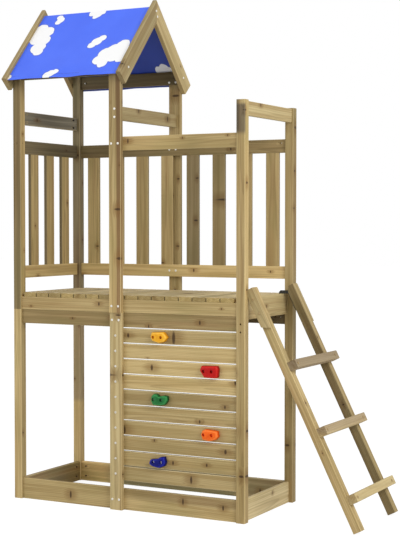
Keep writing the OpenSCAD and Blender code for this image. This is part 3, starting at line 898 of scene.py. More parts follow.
    def painted_shade(self, g: Graph, place: Val, facing: Val) -> Scalar:
        """Finds the painted shade: darker towards one end, on the front faces and on the narrow
        faces in the gaps.

        Args:
            g: The material's graph.
            place: Position on the frame.
            facing: The surface's own direction.

        Returns:
            A factor for the colour.
        """
        factor: Scalar = 1.0
        low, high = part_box(self.node)
        if self.dim != 1.0:
            far = g.dot(place, self.dim_axis).step(low.dot(self.dim_axis), high.dot(self.dim_axis))
            factor = between(far, self.dim, 1.0)
        if self.front != 1.0:
            ahead = (-g.dot(facing, Y_AXIS)).step(0.3, 0.8)
            factor = between(ahead, 1.0, self.front) * factor
        if self.side_shade != 1.0:
            across = self.grain.value[1]
            beside = g.dot(facing, across).size().step(0.6, 0.9)
            if self.rows:
                spot = g.dot(place, across)
                for outer, inward in ((low.dot(across), MM), (high.dot(across), -MM)):
                    beside = spot.step(outer + inward, outer + 2 * inward) * beside
            factor = between(beside, 1.0, self.side_shade) * factor
        return factor


@dataclass(frozen=True)
class ZincSteel:
    """Bright zinc plating with a faint cloudiness; its near-white, barely metallic colour is a
    painted highlight for the zinc's glint.
    """

    name: str = "zinc_steel"
    # A near-white tint: a painted highlight for the zinc's glint
    tint: str = "#FFFCF4"
    dull: str = "#D8D4C8"

    def material(self) -> bpy.types.Material:
        """Builds the plating of the screws.

        Returns:
            Its material.
        """
        g = Graph.material(self.name)
        place = g.node("ShaderNodeTexCoord", out="Object")
        patch = g.noise(place, scale=340.0, detail=3.0)
        skin = g.mix(patch.step(0.3, 0.75), linear(self.tint), linear(self.dull))
        grain = g.noise(place, scale=1800.0)
        return g.surface({
            "Base Color": skin,
            "Metallic": 0.18,
            "Roughness": between(patch, 0.24, 0.44),
            "Normal": g.bump(grain, strength=0.12, depth=0.2 * MM),
        })


@dataclass(frozen=True)
class HookPaint:
    """Dark coated steel, rubbed where it bears."""

    name: str = "hook_coating"
    coat: str = "#2B2A26"
    rubbed: str = "#6A675E"

    def material(self) -> bpy.types.Material:
        """Builds the coating of the ladder's hooks.

        Returns:
            Its material.
        """
        g = Graph.material(self.name)
        place = g.node("ShaderNodeTexCoord", out="Object")
        rub = g.noise(place, scale=120.0, detail=4.0)
        skin = g.mix(rub.step(0.58, 0.8) * 0.6, linear(self.coat), linear(self.rubbed))
        grain = g.noise(place, scale=900.0)
        return g.surface({
            "Base Color": skin,
            "Metallic": 0.35,
            "Roughness": between(rub, 0.36, 0.61),
            "Normal": g.bump(grain, strength=0.2, depth=0.3 * MM),
        })


@dataclass(frozen=True)
class Resin:
    """Moulded resin of a climbing hold, with a fine grit for grip.

    It is paler on the sloping rim, a painted highlight, and darker from shallow to deep
    inside the holes, painted shade.
    """

    name: str
    tint: str
    dark: str
    # The paler colour of the sloping rim: a painted highlight
    rim_highlight: str
    # The bolts' colour: a darker tone paints the shade in the counterbores, a pale one a glint
    bolt: str
    grit: str = "#F4EFE4"
    shallow: float = 4 * MM
    deep: float = 17 * MM

    def material(self) -> bpy.types.Material:
        """Builds the resin of one hold.

        Returns:
            Its material.
        """
        g = Graph.material(f"resin_{self.name}")
        place = g.node("ShaderNodeTexCoord", out="Object")
        facing = g.node("ShaderNodeTexCoord", out="Normal")
        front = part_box(f"hold_{self.name}")[0].y
        ahead = -g.dot(facing, Y_AXIS)
        inward = g.dot(place, Y_AXIS) - front
        # Faces that slope forwards get a paler colour: a painted highlight
        rim = ahead.step(0.35, 0.6) * (1.0 - ahead.step(0.9, 0.985))
        grit = g.noise(place, scale=1500.0, detail=3.0)
        swirl = g.noise(place, scale=46.0, detail=3.0)
        skin = g.mix(swirl.step(0.35, 0.75) * 0.4, linear(self.tint), linear(self.dark))
        skin = g.mix(rim * 0.7, skin, linear(self.rim_highlight))
        # Darker deeper inside the holes: painted shade
        skin = g.mix(inward.step(self.shallow, self.deep) * 0.8, skin, linear(self.dark))
        skin = g.mix(grit.step(0.62, 0.8) * 0.04, skin, linear(self.grit))
        return g.surface({
            "Base Color": skin,
            "Roughness": between(swirl, 0.32, 0.50),
            "Specular IOR Level": 0.16,
            "Normal": g.bump(grit, strength=0.25, depth=0.5 * MM),
        })


Disc = Triple


@dataclass(frozen=True)
class CloudPrint:
    """A coated blue sheet with plain white clouds on both slopes, and a band of painted shade along
    the hems.

    Each disc is its distance from the left end, its distance down from the
    ridge and its radius. These and the sizes of the print are in millimetres.
    """

    name: str
    width: float
    length: float
    blue: str
    paler: str
    white: str
    rim: str = "#3A4C86"
    # Navy that paints the shade along the turned hems
    turned: str = "#1B2868"
    front: tuple[Disc, ...] = (
        (28, 92, 32), (64, 112, 34), (40, 148, 46), (74, 166, 30), (64, 214, 36), (76, 240, 24),
        (12, 122, 28), (92, 20, 15), (102, 36, 19), (94, 50, 15), (258, 8, 19), (284, 12, 27),
        (307, 6, 15), (280, 30, 15), (339, 219, 20), (355, 198, 26), (375, 177, 19),
        (420, 322, 30), (436, 283, 36), (468, 267, 40), (500, 237, 33), (512, 279, 38),
        (523, 322, 24), (446, 348, 24), (486, 312, 28), (462, 320, 20), (196, 402, 20),
        (212, 390, 20), (229, 381, 15), (-2, 400, 15),
    )
    back: tuple[Disc, ...] = (
        (452, 320, 20), (478, 314, 24), (499, 326, 18), (470, 350, 26), (502, 352, 20),
        (88, 172, 34), (124, 160, 38), (156, 186, 30), (110, 202, 28), (284, 120, 22),
        (310, 112, 26), (332, 126, 18), (200, 336, 20), (222, 326, 24), (247, 336, 18),
        (392, 66, 18), (412, 74, 20), (22, 372, 24), (46, 364, 20),
    )
    ridge_half: float = 9.0
    hem: float = 21.0
    fluff: float = 9.0
    blur: float = 0.8
    rim_width: float = 3.6
    threads: float = 4.2

    def material(self) -> bpy.types.Material:
        """Builds the printed sheet.

        Returns:
            Its material.
        """
        g = Graph.material(self.name)
        u, v, _ = g.parts(g.node("ShaderNodeTexCoord", out="UV"))
        far = u * (self.width / MM)
        down = (v - 0.5) * (self.length / MM)
        spot = g.vector(far, down, 0.0)
        reach = self.clouds(g, spot)
        white = 1.0 - reach.step(-self.blur, self.blur)
        rim = 1.0 - reach.size().step(self.blur, self.rim_width)
        fade = g.noise(spot, scale=0.006)
        hem = (down.size() - (self.length / MM / 2 - self.hem)).step(-1.0, 1.0)
        skin = g.mix(fade.step(0.3, 0.7), linear(self.paler), linear(self.blue))
        skin = g.mix(rim * 0.6, skin, linear(self.rim))
        skin = g.mix(white, skin, linear(self.white))
        # Painted shade along the hems
        skin = g.mix(hem * 0.85, skin, linear(self.turned))
        weave = (far * self.threads).sin() * (down * self.threads).sin()
        crease = g.noise(g.vector(far * 0.02, down * 0.008, 0.0), scale=1.0, detail=3.0)
        return g.surface({
            "Base Color": skin,
            "Roughness": between(crease, 0.42, 0.56),
            "Specular IOR Level": 0.35,
            "Normal": g.bump(weave * 0.3 + crease * 2.0, strength=0.25, depth=0.5 * MM),
        })

    def clouds(self, g: Graph, spot: Val) -> Val:
        """Measures how far each place lies outside the clouds.

        Args:
            g: The material's graph.
            spot: Place on the sheet.

        Returns:
            The distance from the clouds' fluffy edges, below zero inside them.
        """
        discs = [(x, -fall - self.ridge_half, r) for x, fall, r in self.front]
        discs += [(x, fall + self.ridge_half, r) for x, fall, r in self.back]
        wool = g.noise(spot, scale=0.045)
        reach = None
        for left, fall, radius in discs:
            away = g.distance(spot, (left, fall, 0.0)) - radius
            reach = away if reach is None else reach.least(away)
        return reach + (wool - 0.5) * self.fluff


@dataclass(frozen=True)
class Thread:
    """Navy sewing thread."""

    name: str = "hem_thread"
    tint: str = "#2C3C86"
    paler: str = "#4A5CB0"

    def material(self) -> bpy.types.Material:
        """Builds the thread of the hems.

        Returns:
            Its material.
        """
        g = Graph.material(self.name)
        place = g.node("ShaderNodeTexCoord", out="Object")
        twist = g.noise(place, scale=900.0)
        skin = g.mix(twist, linear(self.tint), linear(self.paler))
        return g.surface({"Base Color": skin, "Roughness": between(twist, 0.6, 0.8)})


def dress(piece: bpy.types.Object, material: bpy.types.Material) -> None:
    """Gives an object one material on all its faces.

    Args:
        piece: The object to dress.
        material: Its finish.
    """
    piece.data.materials.clear()
    piece.data.materials.append(material)


def board_finishes() -> list[Pine]:
    """Lists the pine of every wooden node.

    Returns:
        One finish for each node.
    """
    slat, wall_board = 60 * MM, 59 * MM
    rung_start, rung_pitch = 7 * MM, 250 * MM
    deck_count, deck_gap = 16, 4 * MM
    deck_low, deck_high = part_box("deck_boards")
    deck_board = (deck_high.x - deck_low.x - (deck_count - 1) * deck_gap) / deck_count
    return [
        # Darker narrow faces on the lower front-left post, and a shaded batch with a darker front
        # on the upper one: painted shade
        Pine("post_fl_lower", Grain.UPRIGHT, Batch.PLAIN, shade=1.22, side_shade=0.78),
        Pine("post_fl_upper", Grain.UPRIGHT, Batch.SHADED, shade=1.24, front=0.50),
        # Grey above the foot of the lower back-left post, and a grey batch on the upper one:
        # painted shade
        Pine(
            "post_bl_lower", Grain.UPRIGHT, Batch.PLAIN, shade=1.80,
            shade_and_tone_patches=(ShadeAndTonePatch("#D8DAED", ((Z, 0.355, 0.385),)),),
        ),
        Pine("post_bl_upper", Grain.UPRIGHT, Batch.GREY, shade=0.78),
        Pine("post_fc_lower", Grain.UPRIGHT, Batch.PALE, shade=1.08),
        # Darker towards the top, lighter towards the foot: painted shade under the roof; the dark
        # stripe is the wood's own
        Pine("post_fc_upper", Grain.UPRIGHT, Batch.PLAIN, shade=0.76, dim=1.6, stripe=18 * MM),
        Pine("post_bc", Grain.UPRIGHT, Batch.PLAIN, shade=0.94),
        # The darker front is painted shade, and so are the darker patches at the top, under the
        # roof; the lower two patches darken the foot, most on its side face
        Pine(
            "post_fr", Grain.UPRIGHT, Batch.PLAIN, shade=1.22, front=0.73,
            shade_and_tone_patches=(
                ShadeAndTonePatch("#B2B5C8", ((Z, 1.525, 1.55), (Z, 1.66, 1.645), (Y, -0.241, -0.247))),
                ShadeAndTonePatch("#BCBCC0", ((Z, 1.53, 1.56), (Y, -0.241, -0.247), (X, 0.306, 0.294))),
                ShadeAndTonePatch("#F3F0EA", ((Z, 0.6, 0.4),)),
                ShadeAndTonePatch("#E6E6EC", ((Z, 0.9, 0.75), (Y, -0.247, -0.241))),
            ),
        ),
        # Darker narrow faces: painted shade
        Pine("post_br", Grain.UPRIGHT, Batch.PLAIN, shade=0.83, side_shade=0.85),
        Pine(
            "base_front", Grain.LENGTH, Batch.PLAIN, shade=1.04, knots=Knots(1.2),
            shade_and_tone_patches=(
                ShadeAndTonePatch("#DAD8D6", ((Z, 0.040, 0.058), (X, -0.35, -0.15))),
                ShadeAndTonePatch("#F1F1EE", ((X, -0.25, -0.32),)),
            ),
        ),
        # Patches of painted shade on the back base board, where it shows in the gap below the wall
        # and in the right bay
        Pine(
            "base_back", Grain.LENGTH, Batch.SHADED, shade=1.85,
            shade_and_tone_patches=(
                ShadeAndTonePatch("#ADBCCB", ((X, -0.64, -0.52), (X, 0.12, 0.03))),
                ShadeAndTonePatch("#C6D0E8", ((X, 0.03, 0.12),)),
            ),
        ),
        # A grey batch: painted shade; the patch makes the far end warmer and darker
        Pine(
            "base_left", Grain.DEPTH, Batch.GREY, shade=1.1,
            shade_and_tone_patches=(ShadeAndTonePatch("#F9F1D3", ((Y, 0.0, 0.15),)),),
        ),
        Pine("base_right", Grain.DEPTH, Batch.BLEACHED, shade=1.30),
        # The beams under the deck have shaded and grey batches, the back one darkest: painted shade
        Pine("beam_front", Grain.LENGTH, Batch.SHADED, shade=0.81),
        Pine("beam_back", Grain.LENGTH, Batch.GREY, shade=0.5),
        Pine("beam_left", Grain.DEPTH, Batch.GREY),
        Pine("rim_front", Grain.LENGTH, Batch.PLAIN, shade=1.01),
        Pine("rim_back", Grain.LENGTH, Batch.PLAIN),
        Pine("rim_left", Grain.DEPTH, Batch.PLAIN),
        Pine("rim_right", Grain.DEPTH, Batch.PALE, shade=1.07),
        # The pale batch paints a sheen on the deck's top, the patch takes it off the front ends,
        # and the dark narrow faces paint shade in the gaps
        Pine(
            "deck_boards", Grain.DEPTH, Batch.BLEACHED,
            rows_of("deck_boards", X_AXIS, deck_count, deck_board), shade=1.07, side_shade=0.33,
            shade_and_tone_patches=(ShadeAndTonePatch("#EDE7CC", ((Y, -0.236, -0.242),)),),
        ),
        # Darker towards the bottom; the paler, wider bevels paint a highlight along the gaps
        # between the boards
        Pine(
            "wall_boards", Grain.LENGTH, Batch.WALL,
            rows_of("wall_boards", Z_AXIS, 10, wall_board), shade=1.08, dim=0.74, knots=Knots(1.25),
            edge="#F5E6BC", edge_share=0.6,
        ),
        Pine(
            "handrail_front", Grain.LENGTH, Batch.PLAIN, shade=1.15,
            shade_and_tone_patches=(ShadeAndTonePatch("#E9E9E9", ((X, -0.05, 0.1),)),),
        ),
        # A shaded batch that darkens towards the left end: painted shade in the corner
        Pine("fence_back_top", Grain.LENGTH, Batch.SHADED, shade=0.98, dim=0.62, dim_axis=X_AXIS),
        Pine("fence_back_low", Grain.LENGTH, Batch.PLAIN, shade=1.28),
        # Darker narrow faces, and patches on the two slats behind the handrail and at the left end:
        # painted shade
        Pine(
            "fence_back_slats", Grain.UPRIGHT, Batch.PLAIN,
            rows_of("fence_back_slats", X_AXIS, 8, slat), shade=1.14, side_shade=0.7,
            shade_and_tone_patches=(
                ShadeAndTonePatch("#B6B8C0", ((X, -0.197, -0.195), (X, -0.127, -0.129))),
                ShadeAndTonePatch("#CBCBC8", ((X, -0.070, -0.068), (X, 0.002, 0.0))),
                ShadeAndTonePatch("#F0F0EC", ((X, -0.60, -0.64),)),
            ),
        ),
        # A dark grey batch, lighter towards the front: painted shade under the roof and in the back
        # corner
        Pine("fence_left_top", Grain.DEPTH, Batch.GREY, shade=0.48, dim=1.36, dim_axis=Y_AXIS),
        Pine("fence_left_low", Grain.DEPTH, Batch.PLAIN, shade=1.33),
        # Dark front edges: painted shade
        Pine(
            "fence_left_slats", Grain.UPRIGHT, Batch.PLAIN,
            rows_of("fence_left_slats", Y_AXIS, 3, slat), shade=1.07, front=0.31,
        ),
        # A slate batch: painted shade under the roof
        Pine("bar_left", Grain.DEPTH, Batch.SLATE, shade=0.88),
        Pine("bar_middle", Grain.DEPTH, Batch.PALE, shade=0.68),
        Pine("bar_right", Grain.DEPTH, Batch.PALE, shade=1.08),
        # The eaves beams are nearly black: painted shade under the roof sheet
        Pine("eave_front", Grain.LENGTH, Batch.SHADED, shade=0.30),
        Pine("eave_back", Grain.LENGTH, Batch.SHADED, shade=0.29),
        Pine("ridge_beam", Grain.LENGTH, Batch.PLAIN),
        Pine("rafter_lf", Grain.RAFTER_FRONT, Batch.PALE, shade=0.85),
        # A shaded batch: painted shade under the roof
        Pine("rafter_lb", Grain.RAFTER_BACK, Batch.SHADED, shade=0.8),
        Pine("rafter_rf", Grain.RAFTER_FRONT, Batch.PALE, shade=0.60),
        Pine("rafter_rb", Grain.RAFTER_BACK, Batch.PALE),
        Pine("stringer_front", Grain.LADDER, Batch.PLAIN, shade=1.02),
        # A darker front face: painted shade
        Pine("stringer_back", Grain.LADDER, Batch.PLAIN, shade=1.10, front=0.55),
        Pine(
            "ladder_rungs", Grain.DEPTH, Batch.PALE, Rows(Z_AXIS, rung_start, rung_pitch),
            shade=1.12,
            shade_and_tone_patches=(
                ShadeAndTonePatch("#D1CDD9", ((Z, 0.36, 0.39),)),
                ShadeAndTonePatch("#EBECF1", ((Z, 0.61, 0.64),)),
            ),
        ),
        Pine(
            "ladder_cheeks", Grain.LADDER, Batch.PALE, Rows(Y_AXIS, -rung_pitch, rung_pitch),
            shade=0.80,
        ),
        Pine("splice_dowels", Grain.UPRIGHT, Batch.PALE),
    ]


@dataclass
class HemStitches:
    """Rows of stitches along the front and back hems."""

    size: Triple = (4.6 * MM, 1.0 * MM, 0.9 * MM)
    bevel: float = 0.3 * MM
    pitch: float = 7 * MM
    inset: float = 17 * MM
    lift: float = 0.55 * MM
    start: float = 8 * MM
    spare: float = 12 * MM

    def row(self, name: str, count: int, spot: Vector, lean_angle: float) -> bpy.types.Object:
        """Sews one row.

        Args:
            name: Its name.
            count: How many stitches it has.
            spot: The middle of the first stitch.
            lean_angle: The turn about X that lays it on its slope.

        Returns:
            The row.
        """
        deselect()
        bpy.ops.mesh.primitive_cube_add(size=1.0, scale=self.size)
        stitch = bpy.context.object
        bpy.ops.object.transform_apply(location=False, rotation=False, scale=True)
        bpy.ops.object.mode_set(mode="EDIT")
        bpy.ops.mesh.select_all(action="SELECT")
        bpy.ops.mesh.bevel(offset=self.bevel, segments=1)
        bpy.ops.object.mode_set(mode="OBJECT")
        array = stitch.modifiers.new("row", "ARRAY")
        array.use_relative_offset = False
        array.use_constant_offset = True
        array.constant_offset_displace = (self.pitch, 0, 0)
        array.count = count
        apply_modifiers(stitch)
        stitch.rotation_euler = (lean_angle, 0, 0)
        stitch.location = spot
        return settle(stitch, name)

    def build(self, edge: Vector, width: float) -> bpy.types.Object:
        """Sews both hems.

        Args:
            edge: The left end of the sheet's front edge.
            width: The sheet's width.

        Returns:
            The stitches of both hems as one piece.
        """
        count = int((width - self.spare) / self.pitch)
        x = edge.x + self.start
        y = edge.y + self.inset * ROOF_COS - self.lift * ROOF_SIN
        z = edge.z + self.inset * ROOF_SIN + self.lift * ROOF_COS
        lean_angle = math.radians(ROOF_SLOPE)
        front = self.row("hem_stitches_front", count, Vector((x, y, z)), lean_angle)
        back = self.row("hem_stitches_back", count, Vector((x, -y, z)), -lean_angle)
        activate(front)
        back.select_set(True)
        bpy.ops.object.join()
        piece = settle(bpy.context.object, "hem_stitches")
        dress(piece, Thread().material())
        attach(piece, BODY)
        return piece


Point = tuple[float, float, float, float]


@dataclass
class RoofSheet:
    """The sheet that is stretched over the ridge beam and the eaves beams.

    Lift, shoulder and crown are its heights over the ridge beam, at the edges of
    the flat, halfway in and in the middle.
    """

    name: str = "roof_tarpaulin"
    thick: float = 1.2 * MM
    ridge_half: float = 8 * MM
    lift: float = 1.3 * MM
    shoulder: float = 1.8 * MM
    crown: float = 1.9 * MM
    sag: float = 5 * MM
    ripple: float = 2.2 * MM
    long_wave: float = 11.0
    short_wave: float = 23.0
    short_share: float = 0.6
    hem: float = 22 * MM
    hem_gap: float = 1.6 * MM
    turn_out: float = 0.5 * MM
    turn_down: float = 1.2 * MM
    hem_points: int = 6
    across: int = 56
    down: int = 34

    def edge(self) -> Vector:
        """Finds the left end of the front edge.

        Returns:
            Its place.
        """
        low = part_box("roof_sheet")[0]
        fall = (-self.ridge_half - low.y) * ROOF_SIN / ROOF_COS
        return Vector((low.x, low.y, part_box("ridge_beam")[1].z + self.lift - fall))

    def profile(self) -> list[Point]:
        """Lists the points of the sheet from the front hem's end to the back hem's end.

        Returns:
            For each point its y and z, how far it sags and how far it ripples.
        """
        edge, ridge = self.edge(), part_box("ridge_beam")[1].z
        reach, rise = -self.ridge_half - edge.y, ridge + self.lift - edge.z
        eave = (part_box("eave_front")[0].y - edge.y) / reach
        half = []
        for i in range(self.hem_points):
            t = self.hem * (1 - i / (self.hem_points - 1))
            y = edge.y + t * ROOF_COS + self.hem_gap * ROOF_SIN
            z = edge.z + t * ROOF_SIN - self.hem_gap * ROOF_COS
            half.append((y, z, 0.0, 1.0))
        half.append((edge.y - self.turn_out, edge.z - self.turn_down, 0.0, 1.0))
        for i in range(self.down + 1):
            t = i / self.down
            loose = max(0.0, 1 - t / eave)
            held = 0.0 if t < eave else math.sin(math.pi * (t - eave) / (1 - eave))
            half.append((edge.y + reach * t, edge.z + rise * t, held, loose))
        half.append((-self.ridge_half / 2, ridge + self.shoulder, 0.0, 0.0))
        middle = (0.0, ridge + self.crown, 0.0, 0.0)
        return half + [middle] + [(-y, z, dip, wave) for y, z, dip, wave in reversed(half)]

    def bend(
        self, piece: bpy.types.Object, points: list[Point], left: float, width: float
    ) -> None:
        """Lays a grid along the profile, with its sag and its ripples.

        Args:
            piece: The flat grid.
            points: The profile, with one point for each row of the grid.
            left: The sheet's left edge.
            width: The sheet's width.
        """
        for number, vertex in enumerate(piece.data.vertices):
            row, column = divmod(number, self.across + 1)
            y, z, dip, wave = points[row]
            t = column / self.across
            side = -1.0 if row < len(points) / 2 else 1.0
            pull = self.sag * dip * (1 - abs(2 * t - 1) ** 3)
            phase = math.sin(t * self.long_wave + side)
            phase += self.short_share * math.sin(t * self.short_wave + 2.0 * side)
            lift = self.ripple * wave * phase * math.sin(math.pi * t) - pull
            vertex.co = (left + width * t, y + side * ROOF_SIN * lift, z + ROOF_COS * lift)

    def chart(self, piece: bpy.types.Object, down: np.ndarray) -> None:
        """Spreads the print's chart over the sheet.

        Args:
            piece: The sheet.
            down: How far each row of the grid lies along the sheet, from 0 to 1.
        """
        layer = piece.data.uv_layers.active.data
        for loop in piece.data.loops:
            row, column = divmod(loop.vertex_index, self.across + 1)
            layer[loop.index].uv = (column / self.across, down[row])

    def build(self) -> bpy.types.Object:
        """Shapes a grid into the sheet and gives it its thickness.

        Returns:
            The finished sheet.
        """
        low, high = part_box("roof_sheet")
        points = self.profile()
        steps = np.linalg.norm(np.diff([p[:2] for p in points], axis=0), axis=1)
        run = np.concatenate([[0.0], np.cumsum(steps)])
        length, width = float(run[-1]), high.x - low.x
        deselect()
        bpy.ops.mesh.primitive_grid_add(
            x_subdivisions=self.across, y_subdivisions=len(points) - 1, size=1.0
        )
        piece = bpy.context.object
        self.bend(piece, points, low.x, width)
        self.chart(piece, run / length)
        solid = piece.modifiers.new("thickness", "SOLIDIFY")
        solid.thickness, solid.offset, solid.material_offset = self.thick, 0.0, 1
        outside = CloudPrint("sheet_outside", width, length, "#4A70FA", "#4F76FF", "#FFFFFF")
        # A darker copy of the print for the inside faces: painted shade under the roof
        inside = CloudPrint("sheet_inside", width, length, "#2B43A0", "#2E47A8", "#EDEFF5")
        dress(piece, outside.material())
        piece.data.materials.append(inside.material())
        apply_modifiers(piece)
        settle(piece, self.name)
        bpy.ops.object.shade_smooth_by_angle(angle=math.radians(40))
        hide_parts("roof_sheet")
        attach(piece, BODY)
        stitches = HemStitches().build(self.edge(), width)
        LOG.info("sheet of %.3f by %.3f m", width, length)
        return piece


Outline = tuple[tuple[float, float], ...]


@dataclass
class Hold:
    """A moulded hold with two counterbored bolt holes.

    Its outline is in millimetres. Each tier is its share of the depth, and its
    size against the tier below.
    """

    colour: str
    outline: Outline
    finish: Resin
    depth: float = 24 * MM
    tiers: Outline = ((0.6, 1.0), (0.28, 0.9), (0.12, 0.72))
    round_r: float = 2.6 * MM
    pitch: float = 36 * MM
    counter_r: float = 6.5 * MM
    bolt_r: float = 3.15 * MM
    seat: float = 12 * MM
    drill_l: float = 60 * MM
    drill_past: float = 5 * MM

    def build(self) -> bpy.types.Object:
        """Pulls the hold out of its outline, rounds it and drills it.

        Returns:
            The finished hold.
        """
        node = f"hold_{self.colour}"
        deselect()
        bpy.ops.mesh.primitive_circle_add(
            vertices=len(self.outline), radius=self.pitch, fill_type="NGON"
        )
        piece = bpy.context.object
        for vertex, (x, y) in zip(piece.data.vertices, reversed(self.outline)):
            vertex.co = (x * MM, y * MM, 0.0)
        bpy.ops.object.mode_set(mode="EDIT")
        bpy.ops.mesh.select_all(action="SELECT")
        bpy.ops.mesh.normals_make_consistent(inside=False)
        for rise, size in self.tiers:
            bpy.ops.mesh.extrude_region_move(
                TRANSFORM_OT_translate={"value": (0, 0, rise * self.depth)}
            )
            bpy.ops.transform.resize(value=(size, size, 1.0))
        bpy.ops.mesh.select_all(action="SELECT")
        bpy.ops.mesh.normals_make_consistent(inside=False)
        bpy.ops.object.mode_set(mode="OBJECT")
        bevel = piece.modifiers.new("edges", "BEVEL")
        bevel.width, bevel.segments, bevel.limit_method = self.round_r, 3, "ANGLE"
        bevel.angle_limit = math.radians(14)
        apply_modifiers(piece)
        self.drill(piece)
        self.seat_on_wall(piece, node)
        dress(piece, self.finish.material())
        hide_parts(node)
        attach(piece, BODY)
        return piece

    def drill(self, piece: bpy.types.Object) -> None:
        """Cuts the bolt holes and their counterbores.

        Args:
            piece: The hold, face up at the origin.
        """
        for side in (-0.5, 0.5):
            for radius, low in ((self.bolt_r, -self.drill_past), (self.counter_r, self.seat)):
                deselect()
                bpy.ops.mesh.primitive_cylinder_add(
                    vertices=32,
                    radius=radius,
                    depth=self.drill_l,
                    location=(side * self.pitch, 0, low + self.drill_l / 2),
                )
                cut_away(piece, bpy.context.object)

    def seat_on_wall(self, piece: bpy.types.Object, node: str) -> None:
        """Turns the hold to face forwards and sets it on its board.

        Args:
            piece: The hold.
            node: The solid that it stands for.
        """
        low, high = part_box(node)
        left = min(p[0] for p in self.outline) * MM
        bottom = min(p[1] for p in self.outline) * MM
        piece.rotation_euler = (math.pi / 2, 0, 0)
        piece.location = (low.x - left, high.y, low.z - bottom)
        settle(piece, f"grip_{self.colour}")
        bpy.ops.object.shade_smooth_by_angle(angle=math.radians(32))


